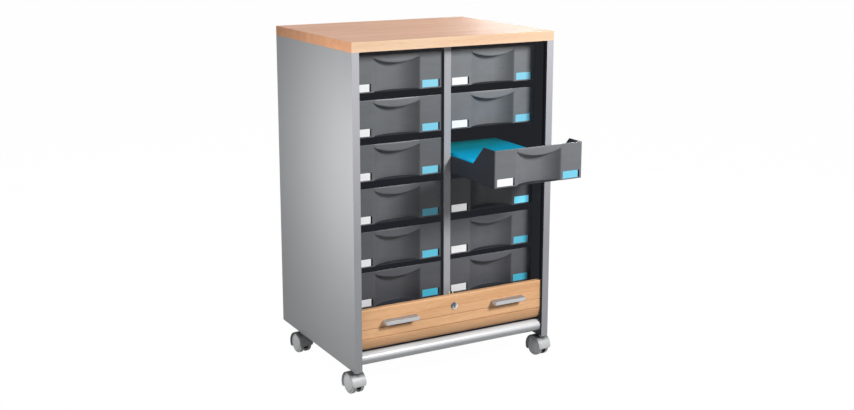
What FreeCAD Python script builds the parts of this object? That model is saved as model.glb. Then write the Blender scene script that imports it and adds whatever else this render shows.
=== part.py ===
import FreeCAD, Part
import math
import os

# Classroom tray storage unit: a two-column cabinet on castors with twelve pull-out trays and a slatted
# curtain that closes it from below.  Sizes are in millimetres.
# X runs to the right, the open front faces -Y, Z is up and the castors stand on Z = 0.

V = FreeCAD.Vector

# ---- cabinet ----
cabinet_width = 650.0
side_thickness = 22.0
top_thickness = 28.0
board_thickness = 16.0
back_thickness = 8.0
back_inset = 4.0
divider_thickness = 22.0
divider_setback = 52.0
edging_thickness = 2.0
bottom_board_lift = 28.0
bottom_board_setback = 48.0
bay_floor_top = 162.0
bay_floor_room = 3.7
tray_rear_gap = 1.0
tray_top_gap = 17.0

# ---- trays ----
tray_rows = 6
tray_setback = 62.0
tray_height = 104.5
tray_depth = 400.0
tray_side_gap = 1.5
tray_wall = 2.5
tray_front_thickness = 3.0
tray_gap = 20.0
lowest_tray_gap = 13.5
floor_gap = 2.5
low_wall_height = 49.0
shoulder_length = 60.0
shoulder_run = 55.0
scoop_side_gap = 7.7
scoop_depth = 23.0
lip_end_height = 10.0
lip_middle_height = 24.0
lip_overhang = 2.5
lug_length = 14.0
lug_rise = 3.5
tray_front_round = 2.0
tray_joint_overlap = 1.0
tray_hold_length = 100.0
open_tray_length = 245.0
stop_clearance = 1.0

# ---- label pockets in the tray fronts ----
label_width = 51.0
label_height = 21.0
label_thickness = 0.6
label_side_margin = 8.0
label_bottom_margin = 3.5
label_fit = 0.3
pocket_depth = 1.0
finger_slot_width = 4.5

# ---- tray runners ----
runner_width = 10.0
runner_height = 14.0
runner_gauge = 1.2
runner_gap = 1.0
runner_front_setback = 72.0
runner_end_gap = 1.0
stop_height = 18.0
stop_length = 8.0
runner_screw_radius = 1.75
runner_screw_head_radius = 2.8
runner_screw_head_height = 1.0
runner_screw_length = 9.0
runner_screw_drop = 4.4
runner_screw_front = 28.0
runner_screw_rear = 30.0

# ---- slatted curtain and its track ----
slat_pitch = 28.0
slat_gap = 0.8
slat_thickness = 8.0
slat_count = 30
slat_engagement = 8.0
slat_end_gap = 0.5
line_width = 0.8
line_depth = 0.8
rail_lead = 3.0
rail_slats = 2
moving_slats = 3
rail_stiffener = 8.0
rail_stiffener_inset = 4.0
curtain_setback = 9.0
curtain_top = 178.0
curtain_bend_radius = 26.0
curtain_low = 53.5
curtain_rear_room = 20.0
curtain_back_room = 14.0
curtain_tail_room = 20.0
track_clearance = 0.5
track_wall = 1.5
track_top_gap = 4.0
backing_thickness = 0.6

# ---- handles ----
handle_length = 104.0
handle_height = 11.0
handle_wall = 2.5
handle_reach = 25.0
handle_foot = 8.0
handle_edge_round = 1.0
handle_drop = 42.2
handle_inner_gap = 256.0
handle_screw_radius = 2.0
handle_screw_grip = 12.0
handle_screw_head_radius = 3.6
handle_screw_head_height = 2.2

# ---- lock ----
lock_drop = 33.0
rosette_radius = 11.0
rosette_thickness = 3.0
rosette_chamfer = 1.0
barrel_radius = 9.0
core_radius = 7.0
core_proud = 1.2
core_clearance = 0.05
core_chamfer = 0.5
core_tail_radius = 3.0
barrel_floor = 4.0
keyway_width = 1.8
keyway_height = 8.0
keyway_depth = 6.0
crank_radius = 4.0
crank_thickness = 2.0
crank_pin_radius = 1.5
bolt_width = 14.0
bolt_thickness = 2.5
bolt_chamfer = 1.5
bolt_rise = 5.5
bolt_tail = 4.0
bolt_notch_width = 4.0
bolt_notch_depth = 7.0
bolt_gap = 0.4
guide_wall = 1.6
guide_side = 4.0
guide_height = 20.0
guide_top_gap = 2.0

# ---- cross tube ----
tube_radius = 18.0
tube_wall = 1.5
tube_setback = 23.0
tube_lift = 31.7
tube_seat = 5.0

# ---- castors ----
castor_width = 45.0
wheel_radius = 30.0
wheel_width = 16.0
wheel_dome = 4.0
wheel_edge_round = 3.0
wheel_inner_bevel = 1.0
wheel_line_radius = 23.0
wheel_line_width = 1.0
wheel_line_depth = 0.1
castor_trail = 16.0
axle_radius = 3.0
axle_clearance = 0.05
axle_engagement = 6.0
hood_gap = 1.0
hood_wall = 3.0
hood_front_angle = -8.0
hood_rear_angle = 214.0
hood_web_width = 10.0
hood_web_radius = 22.0
hood_web_overlap = 4.0
hood_shell_overlap = 0.5
hood_spoke_angle = 5.0
hood_edge_round = 2.2
hood_corner_round = 7.0
hood_top_gap = 3.0
swivel_boss_radius = 10.0
swivel_boss_gap = 0.6
stem_radius = 5.0
stem_length = 30.0
pivot_radius = 4.0
pivot_length = 20.0
pivot_clearance = 0.05
collar_radius = 11.0
collar_thickness = 3.0
castor_front_setback = 15.0
castor_rear_inset = 138.0
castor_turn = {"front_left": 4.2, "front_right": 5.8, "rear_left": 6.0, "rear_right": -6.0}

# ---- dowels ----
dowel_radius = 4.0
upright_dowel_length = 24.0
level_dowel_length = 32.0
level_dowel_seat = 12.0
dowel_inset = 60.0

# ---- card folders in the open tray ----
folder_width = 232.0
folder_depth = 320.0
folder_thickness = 10.4
folder_count = 5
folder_gap = 0.3
folder_card = 0.8
folder_inset = 4.0
folder_front_share = 0.75
folder_side_gap = 5.0
folder_turns = (0.0, -0.6, 0.5, 0.2, -1.2)

# ---- places that follow from the sizes ----
half_width = cabinet_width / 2
inner_half = half_width - side_thickness
column_width = inner_half - divider_thickness / 2
tray_width = column_width - 2 * tray_side_gap
column_centre = divider_thickness / 2 + column_width / 2
pocket_width = label_width + label_fit + finger_slot_width
scoop_width = tray_width - 2 * (label_side_margin + pocket_width + scoop_side_gap)
tray_travel = tray_depth - tray_hold_length
bay_depth = tray_setback + tray_depth + tray_rear_gap
curtain_run_depth = curtain_rear_room + slat_thickness + curtain_back_room
cabinet_depth = bay_depth + back_thickness + curtain_run_depth + back_thickness + back_inset
tray_stack = tray_rows * tray_height + (tray_rows - 2) * tray_gap + lowest_tray_gap
side_height = bay_floor_top + floor_gap + tray_stack + tray_top_gap
castor_height = 2 * wheel_radius + hood_gap + hood_wall + hood_top_gap
front_reach = open_tray_length - tray_setback + lip_overhang
front = (front_reach - cabinet_depth) / 2
rear = front + cabinet_depth
side_bottom = castor_height
side_top = side_bottom + side_height
bay_floor_z = side_bottom + bay_floor_top
bay_back = front + bay_depth
columns = {"left": -column_centre, "right": column_centre}
open_tray = ("right", 3)
curtain_rest_z = side_bottom + curtain_top
rail_length = rail_lead + rail_slats * slat_pitch
slat_half_length = inner_half + slat_engagement
curtain_face = front + curtain_setback
path_front = curtain_face + slat_thickness / 2
path_rear = bay_back + back_thickness + curtain_rear_room + slat_thickness / 2
path_low = side_bottom + curtain_low
rail_back = curtain_face + slat_thickness + rail_stiffener


def box(x0, x1, y0, y1, z0, z1):
    """Block between two corners."""
    return Part.makeBox(x1 - x0, y1 - y0, z1 - z0, V(x0, y0, z0))


def rod(radius, start, end):
    """Round rod from one point to another."""
    axis = V(*end) - V(*start)
    return Part.makeCylinder(radius, axis.Length, V(*start), axis)


def fuse(shapes):
    """One solid from several that meet."""
    return shapes[0].multiFuse(shapes[1:]).removeSplitter()


def cut_all(shape, tools):
    """The shape with every tool taken out of it."""
    return shape.cut(Part.makeCompound(tools)) if tools else shape


def group(shapes):
    """Separate solids that share a node."""
    return Part.makeCompound(shapes)


def edges_near(shape, test):
    """Edges whose middle point passes the test."""
    found = []
    for edge in shape.Edges:
        middle = edge.valueAt((edge.FirstParameter + edge.LastParameter) / 2)
        if test(edge, middle):
            found.append(edge)
    return found


# ---- the curtain's path: down the front, round the bend, back under the trays, round and up ----

def path_breaks():
    """Runs at which the path changes between straight and bend, counted from the curtain's top edge."""
    down = curtain_rest_z - path_low - curtain_bend_radius
    quarter = math.pi / 2 * curtain_bend_radius
    back = path_rear - path_front - 2 * curtain_bend_radius
    return [down, down + quarter, down + quarter + back, down + 2 * quarter + back]


def path_point(run, offset):
    """Point in the YZ plane at a run of the path, set off outwards from its centre line."""
    down, bend, level, climb = path_breaks()
    radius = curtain_bend_radius
    high = path_low + radius
    if run <= down:
        return V(0, path_front - offset, curtain_rest_z - run)
    if run <= bend:
        angle = (run - down) / radius
        reach = radius + offset
        return V(0, path_front + radius - reach * math.cos(angle), high - reach * math.sin(angle))
    if run <= level:
        return V(0, path_front + radius + run - bend, path_low - offset)
    if run <= climb:
        angle = (run - level) / radius
        reach = radius + offset
        return V(0, path_rear - radius + reach * math.sin(angle), high - reach * math.cos(angle))
    return V(0, path_rear + offset, high + run - climb)


def path_edges(start, end, offset):
    """Lines and arcs that follow the path at one offset."""
    breaks = path_breaks()
    inner = [run for run in breaks if start < run < end]
    stops = [start] + inner + [end]
    edges = []
    for first, last in zip(stops, stops[1:]):
        middle = (first + last) / 2
        bends = breaks[0] < middle < breaks[1] or breaks[2] < middle < breaks[3]
        points = [path_point(run, offset) for run in (first, middle, last)]
        if bends:
            edges.append(Part.Arc(*points).toShape())
        else:
            edges.append(Part.LineSegment(points[0], points[2]).toShape())
    return edges


def path_band(start, end, inner, outer, x0, x1):
    """Solid between two offsets of the path, from run start to run end and from x0 to x1."""
    edges = path_edges(start, end, outer) + path_edges(start, end, inner)
    for run in (start, end):
        edges.append(Part.LineSegment(path_point(run, inner), path_point(run, outer)).toShape())
    face = Part.Face(Part.Wire(Part.__sortEdges__(edges)))
    face.translate(V(x0, 0, 0))
    return face.extrude(V(x1 - x0, 0, 0))


def track_start():
    """Run of the track's upper end at the front."""
    return curtain_rest_z - (side_top - track_top_gap)


def track_end():
    """Run of the track's upper end at the rear."""
    return rail_lead + slat_count * slat_pitch + curtain_tail_room


# ---- panels ----

def stem_places():
    """Centre of each castor's swivel axis, by name."""
    x = half_width - side_thickness / 2
    front_y = front + castor_front_setback
    rear_y = rear - castor_rear_inset
    return {
        "front_left": (-x, front_y),
        "front_right": (x, front_y),
        "rear_left": (-x, rear_y),
        "rear_right": (x, rear_y),
    }


def tray_bottom(row):
    """Height of a tray's underside, with row 1 at the top."""
    lowest = bay_floor_z + floor_gap
    if row == tray_rows:
        return lowest
    second = lowest + tray_height + lowest_tray_gap
    return second + (tray_rows - 1 - row) * (tray_height + tray_gap)


def runner_top(row):
    """Height of the face that a tray slides on."""
    return tray_bottom(row) - runner_gap


def runner_faces():
    """X of each panel face that carries runners, with the side on which the runner lies."""
    wall = divider_thickness / 2
    return [(-inner_half, 1), (-wall, -1), (wall, 1), (inner_half, -1)]


def runner_screw_places():
    """Point and direction of every runner screw, on the panel's face."""
    places = []
    for x, side in runner_faces():
        for row in range(1, tray_rows):
            z = runner_top(row) - runner_screw_drop
            for y in (front + runner_front_setback + runner_screw_front, bay_back - runner_screw_rear):
                places.append((x, side, y, z))
    return places


def screw_holes(low, high):
    """Holes for the runner screws whose panel face lies between two X values."""
    holes = []
    for x, side, y, z in runner_screw_places():
        if low <= x <= high:
            holes.append(rod(runner_screw_radius, (x, y, z), (x - side * runner_screw_length, y, z)))
    return holes


def upright_dowel_places():
    """Middle of each upright dowel: side panels to top, divider to top and divider to bay floor."""
    places = []
    for x in (-half_width + side_thickness / 2, half_width - side_thickness / 2):
        for y in (front + dowel_inset, front + cabinet_depth / 2, rear - dowel_inset):
            places.append((x, y, side_top))
    for y in (front + divider_setback + dowel_inset, bay_back - dowel_inset):
        places.append((0, y, side_top))
        places.append((0, y, bay_floor_z))
    return places


def level_dowel_places():
    """Side, Y and Z of each level dowel: bay floor and bottom board to the side panels."""
    heights = (bay_floor_z - board_thickness / 2, side_bottom + bottom_board_lift + board_thickness / 2)
    places = []
    for z in heights:
        for y in (front + bottom_board_setback + dowel_inset, bay_back - dowel_inset):
            for side in (-1, 1):
                places.append((side, y, z))
    return places


def dowel_solids():
    """Every dowel as a solid."""
    half = upright_dowel_length / 2
    solids = [rod(dowel_radius, (x, y, z - half), (x, y, z + half)) for x, y, z in upright_dowel_places()]
    for side, y, z in level_dowel_places():
        outer = side * (inner_half + level_dowel_seat)
        inner = outer - side * level_dowel_length
        solids.append(rod(dowel_radius, (inner, y, z), (outer, y, z)))
    return solids


def top_panel():
    """Top board over both side panels."""
    board = box(-half_width, half_width, front, rear, side_top, side_top + top_thickness)
    return board.cut(group(dowel_solids()))


def side_panel(side):
    """Side panel with the curtain track's groove, the tube's seat, the stem bores and the screw holes."""
    outer = side * half_width
    inner = side * inner_half
    panel = box(min(outer, inner), max(outer, inner), front, rear, side_bottom, side_top)
    groove_depth = slat_engagement + slat_end_gap + track_wall
    groove_half = slat_thickness / 2 + track_clearance + track_wall
    deep = inner + side * groove_depth
    low, high = min(inner, deep), max(inner, deep)
    tools = [path_band(track_start(), track_end(), -groove_half, groove_half, low, high)]
    seat = inner + side * tube_seat
    tube_y = front + tube_setback
    tools.append(rod(tube_radius, (inner, tube_y, tube_z()), (seat, tube_y, tube_z())))
    for x, y in stem_places().values():
        if x * side > 0:
            tools.append(rod(stem_radius, (x, y, side_bottom), (x, y, side_bottom + stem_length)))
    tools += screw_holes(inner - 1, inner + 1)
    tools += dowel_solids()
    return cut_all(panel, tools)


def divider():
    """Central upright between the two columns."""
    half = divider_thickness / 2
    board = box(-half, half, front + divider_setback + edging_thickness, bay_back, bay_floor_z, side_top)
    return cut_all(board, screw_holes(-half - 1, half + 1) + dowel_solids())


def divider_edging():
    """Thin strip on the divider's front edge."""
    half = divider_thickness / 2
    y = front + divider_setback
    return box(-half, half, y, y + edging_thickness, bay_floor_z, side_top)


def bay_floor():
    """Board under the lowest trays."""
    low = bay_floor_z - board_thickness
    board = box(-inner_half, inner_half, guide_back() + bay_floor_room, bay_back, low, bay_floor_z)
    return board.cut(group(dowel_solids()))


def bottom_board():
    """Board that closes the base under the stored run of the curtain."""
    z = side_bottom + bottom_board_lift
    board_rear = rear - back_inset - back_thickness
    board = box(-inner_half, inner_half, front + bottom_board_setback, board_rear, z, z + board_thickness)
    return board.cut(group(dowel_solids()))


def inner_back():
    """Board between the trays and the rear run of the curtain."""
    low = bay_floor_z - board_thickness
    return box(-inner_half, inner_half, bay_back, bay_back + back_thickness, low, side_top)


def back_panel():
    """Outer back between the side panels."""
    y = rear - back_inset - back_thickness
    return box(-inner_half, inner_half, y, y + back_thickness, side_bottom + bottom_board_lift, side_top)


def tube_z():
    """Height of the cross tube's axis."""
    return side_bottom + tube_lift


def cross_tube():
    """Round tube between the side panels, seated in both."""
    end = inner_half + tube_seat
    y = front + tube_setback
    outer = rod(tube_radius, (-end, y, tube_z()), (end, y, tube_z()))
    inner = rod(tube_radius - tube_wall, (-end, y, tube_z()), (end, y, tube_z()))
    return outer.cut(inner)


# ---- curtain ----

def curtain_track(side):
    """Channel let into a side panel, which guides the ends of the slats."""
    half = slat_thickness / 2 + track_clearance
    face = side * inner_half
    slot = face + side * (slat_engagement + slat_end_gap)
    deep = slot + side * track_wall
    outer_half = half + track_wall
    channel = path_band(track_start(), track_end(), -outer_half, outer_half, min(face, deep), max(face, deep))
    hollow = path_band(track_start(), track_end(), -half, half, min(face, slot), max(face, slot))
    return channel.cut(hollow)


def slat_run(index):
    """Start and end of a slat along the path."""
    start = rail_lead + index * slat_pitch
    return start + slat_gap / 2, start + slat_pitch - slat_gap / 2


def slat(start, end):
    """One slat, with its outer edges stepped back so that a line shows between slats."""
    half = slat_thickness / 2
    step = half - line_depth
    body = path_band(start, end, -half, step, -slat_half_length, slat_half_length)
    face = path_band(start + line_width, end - line_width, step, half, -slat_half_length, slat_half_length)
    return fuse([body, face])


def lead_rail():
    """Stiff upper rail of the curtain: two slats high, lined like them, with a stiffener behind."""
    start = slat_gap / 2
    end = rail_length - slat_gap / 2
    rail = slat(start, end)
    half = slat_thickness / 2
    line_half = line_width + slat_gap / 2
    line_run = rail_lead + slat_pitch
    line = path_band(line_run - line_half, line_run + line_half, half - line_depth, half + 1,
                     -slat_half_length, slat_half_length)
    stiff_half = inner_half - rail_stiffener_inset
    stiffener = box(-stiff_half, stiff_half, rail_back - rail_stiffener, rail_back,
                    curtain_rest_z - end, curtain_rest_z - start)
    z = curtain_rest_z - lock_drop
    hole = rod(barrel_radius, (0, curtain_face - 1, z), (0, rail_back + 1, z))
    holes = [line, hole]
    for x, screw_z in handle_screw_places():
        holes.append(rod(handle_screw_radius, (x, curtain_face - 1, screw_z), (x, rail_back + 1, screw_z)))
    return cut_all(fuse([rail, stiffener]), holes)


def follower_slat():
    """The slats that rise with the lead rail."""
    return group([slat(*slat_run(index)) for index in range(rail_slats, moving_slats)])


def stored_slats():
    """The slats that lie round the bends, under the trays and behind them."""
    return group([slat(*slat_run(index)) for index in range(moving_slats, slat_count)])


def backing(first, last):
    """Fabric strip on the inner side of the slats from one slat to another."""
    half = slat_thickness / 2
    start = slat_run(first)[0]
    end = slat_run(last)[1]
    edge = inner_half - rail_stiffener_inset
    return path_band(start, end, -half - backing_thickness, -half, -edge, edge)


# ---- handles ----

def handle_z():
    """Height of the handles' middle."""
    return curtain_rest_z - handle_drop


def handle_x():
    """Distance of each handle's middle from the cabinet's middle."""
    return (handle_inner_gap + handle_length) / 2


def handle_screw_places():
    """X and Z of every handle screw, in the middle of a handle's solid end."""
    half = (handle_length - handle_foot) / 2
    return [(side * handle_x() + offset, handle_z()) for side in (-1, 1) for offset in (-half, half)]


def bar_handle(side):
    """Square bar handle: solid ends with blind screw holes, and hollow from below between them."""
    x = side * handle_x()
    half = handle_length / 2
    low = handle_z() - handle_height / 2
    high = handle_z() + handle_height / 2
    face = curtain_face - handle_reach
    block = box(x - half, x + half, face, curtain_face, low, high)
    block = block.makeFillet(handle_edge_round, edges_near(block, lambda edge, at: at.y < face + 0.1))
    hollow_half = half - handle_foot
    hollow = box(x - hollow_half, x + hollow_half, face + handle_wall, curtain_face - handle_wall,
                 low - 1, high - handle_wall)
    holes = []
    for screw_x, screw_z in handle_screw_places():
        if screw_x * side > 0:
            deep = curtain_face - handle_screw_grip
            holes.append(rod(handle_screw_radius, (screw_x, deep, screw_z), (screw_x, curtain_face, screw_z)))
    return cut_all(block, [hollow] + holes)


def handle_screws():
    """Screws through the rail into the handles' ends, with their heads behind the rail."""
    screws = []
    for x, z in handle_screw_places():
        shank = rod(handle_screw_radius, (x, curtain_face - handle_screw_grip, z), (x, rail_back, z))
        head = rod(handle_screw_head_radius, (x, rail_back, z), (x, rail_back + handle_screw_head_height, z))
        screws.append(fuse([shank, head]))
    return group(screws)


# ---- lock ----

def lock_z():
    """Height of the lock's axis."""
    return curtain_rest_z - lock_drop


def lock_barrel():
    """Fixed lock housing with its rosette in front of the rail."""
    z = lock_z()
    face = curtain_face - rosette_thickness
    rosette = rod(rosette_radius, (0, face, z), (0, curtain_face, z))
    rosette = rosette.makeChamfer(rosette_chamfer, edges_near(rosette, lambda edge, at: at.y < face + 0.1))
    barrel = rod(barrel_radius, (0, curtain_face, z), (0, rail_back, z))
    bore = rod(core_radius + core_clearance, (0, face - 1, z), (0, core_back() + core_clearance, z))
    tail = rod(core_tail_radius + core_clearance, (0, face, z), (0, rail_back + 1, z))
    return cut_all(fuse([rosette, barrel]), [bore, tail])


def core_back():
    """Y of the rear end of the core's thick part."""
    return rail_back - barrel_floor - core_clearance


def crank_pin_place():
    """X and Z of the crank pin with the bolt raised."""
    reach = crank_radius * math.sqrt(0.5)
    return reach, lock_z() + reach


def lock_core():
    """Turning core with its keyway, tail, crank disc and crank pin."""
    z = lock_z()
    face = curtain_face - rosette_thickness - core_proud
    core = rod(core_radius, (0, face, z), (0, core_back(), z))
    core = core.makeChamfer(core_chamfer, edges_near(core, lambda edge, at: at.y < face + 0.1))
    crank_front = rail_back + bolt_gap
    crank_back = crank_front + crank_thickness
    tail = rod(core_tail_radius, (0, core_back(), z), (0, crank_back, z))
    disc = rod(crank_radius + 2 * crank_pin_radius, (0, crank_front, z), (0, crank_back, z))
    pin_x, pin_z = crank_pin_place()
    pin = rod(crank_pin_radius, (pin_x, crank_back, pin_z), (pin_x, bolt_front() + bolt_thickness, pin_z))
    keyway = box(-keyway_width / 2, keyway_width / 2, face - 1, face + keyway_depth,
                 z - keyway_height / 2, z + keyway_height / 2)
    return fuse([core, tail, disc, pin]).cut(keyway)


def bolt_front():
    """Y of the bolt's front face, behind the crank disc."""
    return rail_back + bolt_gap + crank_thickness + bolt_gap


def guide_back():
    """Y of the rear face of the bridge that guides the bolt."""
    return bolt_front() + bolt_thickness + bolt_gap + guide_wall


def lock_bolt():
    """Forked bolt behind the rail, moved by the crank pin in its cross slot."""
    y = bolt_front()
    half = bolt_width / 2
    top = curtain_rest_z + bolt_rise
    plate = box(-half, half, y, y + bolt_thickness, lock_z() - bolt_tail, top)
    corners = edges_near(plate, lambda edge, at: abs(at.z - top) < 0.1 and abs(abs(at.x) - half) < 0.1)
    plate = plate.makeChamfer(bolt_chamfer, corners)
    notch = box(-bolt_notch_width / 2, bolt_notch_width / 2, y - 1, y + bolt_thickness + 1,
                top - bolt_notch_depth, top + 1)
    pin_x, pin_z = crank_pin_place()
    play = crank_pin_radius + bolt_gap
    slot = box(pin_x - play, crank_radius + play, y - 1, y + bolt_thickness + 1, pin_z - play, pin_z + play)
    return cut_all(plate, [notch, slot])


def bolt_guide():
    """Bridge behind the rail in which the bolt slides."""
    inner = bolt_width / 2 + bolt_gap
    outer = inner + guide_side
    top = curtain_rest_z - guide_top_gap
    hollow_back = guide_back() - guide_wall
    bridge = box(-outer, outer, rail_back, guide_back(), top - guide_height, top)
    return bridge.cut(box(-inner, inner, rail_back - 1, hollow_back, top - guide_height - 1, top + 1))


# ---- trays ----

def tray_side_profile(start):
    """Corners of a side wall in the tray's own YZ plane, from where it leaves the front plate."""
    return [
        (start, 0),
        (tray_depth, 0),
        (tray_depth, tray_height + lug_rise),
        (tray_depth - lug_length, tray_height + lug_rise),
        (tray_depth - lug_length, low_wall_height),
        (shoulder_length + shoulder_run, low_wall_height),
        (shoulder_length, tray_height),
        (start, tray_height),
    ]


def tray_side(side, start):
    """Side wall: high at the front shoulder, low behind it, with a stop lug at the rear corner."""
    x = side * tray_width / 2
    points = [V(x, y, z) for y, z in tray_side_profile(start)]
    face = Part.Face(Part.makePolygon(points + points[:1]))
    return face.extrude(V(-side * tray_wall, 0, 0))


def scoop_plan(depth, half, z0, z1):
    """Upright block whose plan is a circle segment of a depth and half width behind the front face."""
    arc = Part.Arc(V(-half, 0, z0), V(0, depth, z0), V(half, 0, z0)).toShape()
    chord = [V(half, 0, z0), V(half, -1, z0), V(-half, -1, z0), V(-half, 0, z0)]
    face = Part.Face(Part.Wire([arc] + Part.makePolygon(chord).Edges))
    return face.extrude(V(0, 0, z1 - z0))


def under_lip(half, raise_by, y0, y1):
    """Block below the lip's curved lower edge, which sags in the middle."""
    end = tray_height - lip_end_height + raise_by
    middle = tray_height - lip_middle_height + raise_by
    arc = Part.Arc(V(-half, y0, end), V(0, y0, middle), V(half, y0, end)).toShape()
    frame = [V(half, y0, end), V(half, y0, -1), V(-half, y0, -1), V(-half, y0, end)]
    face = Part.Face(Part.Wire([arc] + Part.makePolygon(frame).Edges))
    return face.extrude(V(0, y1 - y0, 0))


def grip_lip():
    """Wedge over the scoop that leans out towards its lower edge."""
    half = scoop_width / 2
    low = tray_height - 2 * lip_middle_height
    corners = [V(-half, 0, tray_height), V(-half, 0, low), V(-half, -2 * lip_overhang, low)]
    wedge = Part.Face(Part.makePolygon(corners + corners[:1])).extrude(V(scoop_width, 0, 0))
    return wedge.cut(under_lip(half, 0, -2 * lip_overhang - 1, 1))


def pocket_places():
    """Left end of each label pocket across the tray front."""
    half = tray_width / 2
    return [-half + label_side_margin, half - label_side_margin - pocket_width]


def label_pocket(x):
    """Shallow pocket for a label, with a finger slot through the front at its right end."""
    z0 = label_bottom_margin
    z1 = z0 + label_height + label_fit
    slot = x + label_width + label_fit
    pocket = box(x, slot + finger_slot_width, -1, pocket_depth, z0, z1)
    return fuse([pocket, box(slot, slot + finger_slot_width, -1, tray_front_thickness + 1, z0, z1)])


def tray():
    """Tray in its own frame: front face at Y = 0, underside at Z = 0, centred on X."""
    half = tray_width / 2
    plate = box(-half, half, 0, tray_front_thickness, 0, tray_height)
    uprights = edges_near(plate, lambda edge, at: at.y < 0.1 and abs(abs(at.x) - half) < 0.1)
    plate = plate.makeFillet(tray_front_round, uprights)
    inner_y = tray_front_thickness - tray_joint_overlap
    scoop_half = scoop_width / 2
    bulge_half = scoop_half + tray_wall
    bulge_depth = scoop_depth + tray_wall
    bulge = scoop_plan(bulge_depth, bulge_half, 0, tray_height)
    bulge = bulge.common(under_lip(bulge_half, tray_wall, tray_joint_overlap, bulge_depth + 1))
    base = box(-half, half, inner_y, tray_depth, 0, tray_wall)
    back = box(-half, half, tray_depth - tray_wall, tray_depth, 0, low_wall_height)
    body = fuse([plate, tray_side(-1, inner_y), tray_side(1, inner_y), bulge, base, back])
    scoop = scoop_plan(scoop_depth, scoop_half, -1, tray_height)
    scoop = scoop.common(under_lip(scoop_half, 0, -2, scoop_depth + 1))
    body = body.cut(scoop)
    body = fuse([body, grip_lip()])
    return cut_all(body, [label_pocket(x) for x in pocket_places()])


def labels():
    """The two label cards in their pockets, in the tray's own frame."""
    cards = []
    for x in pocket_places():
        x0 = x + label_fit / 2
        y0 = pocket_depth - label_thickness
        z0 = label_bottom_margin + label_fit / 2
        cards.append(box(x0, x0 + label_width, y0, pocket_depth, z0, z0 + label_height))
    return group(cards)


def tray_place(column, row):
    """Place of a tray's own origin, with the open tray pulled out."""
    pull = open_tray_length if (column, row) == open_tray else 0
    return V(columns[column], front + tray_setback - pull, tray_bottom(row))


def placed(shape, place):
    """Copy of a shape moved to a place."""
    copy = shape.copy()
    copy.translate(place)
    return copy


# ---- runners ----

def stop_y():
    """Front of the stop that a tray's lugs meet when it is pulled right out."""
    lug_front = tray_setback + tray_depth - lug_length
    return front + lug_front - tray_travel - stop_clearance - stop_length


def runner(x, side, row):
    """Angle that carries one edge of a tray, with the stop for the tray below."""
    y0 = front + runner_front_setback
    y1 = bay_back - runner_end_gap
    top = runner_top(row)
    edge = x + side * runner_width
    web = x + side * runner_gauge
    flange = box(min(x, edge), max(x, edge), y0, y1, top - runner_gauge, top)
    upright = box(min(x, web), max(x, web), y0, y1, top - runner_height, top)
    stop = box(min(x, edge), max(x, edge), stop_y(), stop_y() + stop_length, top - stop_height, top)
    return fuse([flange, upright, stop])


def tray_runners():
    """All runners, less their screw holes."""
    holes = []
    for x, side, y, z in runner_screw_places():
        holes.append(rod(runner_screw_radius, (x - side, y, z), (x + side * (runner_gauge + 1), y, z)))
    solids = []
    for x, side in runner_faces():
        for row in range(1, tray_rows):
            solids.append(cut_all(runner(x, side, row), holes))
    return group(solids)


def runner_screws():
    """Screws that hold the runners on their panels."""
    screws = []
    for x, side, y, z in runner_screw_places():
        web = x + side * runner_gauge
        shank = rod(runner_screw_radius, (x - side * runner_screw_length, y, z), (web, y, z))
        head = rod(runner_screw_head_radius, (web, y, z), (web + side * runner_screw_head_height, y, z))
        screws.append(fuse([shank, head]))
    return group(screws)


def top_stops():
    """Stops under the top panel for the lugs of the highest trays."""
    low = runner_top(1) + tray_height + tray_gap - stop_height
    blocks = []
    for x, side in runner_faces():
        edge = x + side * runner_width
        blocks.append(box(min(x, edge), max(x, edge), stop_y(), stop_y() + stop_length, low, side_top))
    return group(blocks)


# ---- castors, built with the swivel axis on Z and the wheels trailing towards +Y ----

def castor_at(shape, name):
    """Copy of a castor piece turned and moved to its place."""
    copy = shape.copy()
    copy.rotate(V(0, 0, 0), V(0, 0, 1), castor_turn[name])
    x, y = stem_places()[name]
    copy.translate(V(x, y, 0))
    return copy


def castor_stem():
    """Stem in the side panel's bore, collar under the panel and pivot in the hood."""
    stem = rod(stem_radius, (0, 0, side_bottom), (0, 0, side_bottom + stem_length))
    collar = rod(collar_radius, (0, 0, side_bottom - collar_thickness), (0, 0, side_bottom))
    low = side_bottom - collar_thickness - pivot_length
    pivot = rod(pivot_radius, (0, 0, low), (0, 0, side_bottom))
    return fuse([stem, collar, pivot])


def axle_rod(radius, half):
    """Round rod on the axle's line, from -half to half."""
    return rod(radius, (-half, castor_trail, wheel_radius), (half, castor_trail, wheel_radius))


def arc_band(inner, outer, start, end, half):
    """Curved band round the axle between two radii and two angles, the angles from -Y over the top."""
    def point(radius, angle):
        turn = math.radians(angle)
        return V(-half, castor_trail - radius * math.cos(turn), wheel_radius + radius * math.sin(turn))

    middle = (start + end) / 2
    edges = [
        Part.Arc(point(outer, start), point(outer, middle), point(outer, end)).toShape(),
        Part.LineSegment(point(outer, end), point(inner, end)).toShape(),
        Part.Arc(point(inner, end), point(inner, middle), point(inner, start)).toShape(),
        Part.LineSegment(point(inner, start), point(outer, start)).toShape(),
    ]
    return Part.Face(Part.Wire(edges)).extrude(V(2 * half, 0, 0))


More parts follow.
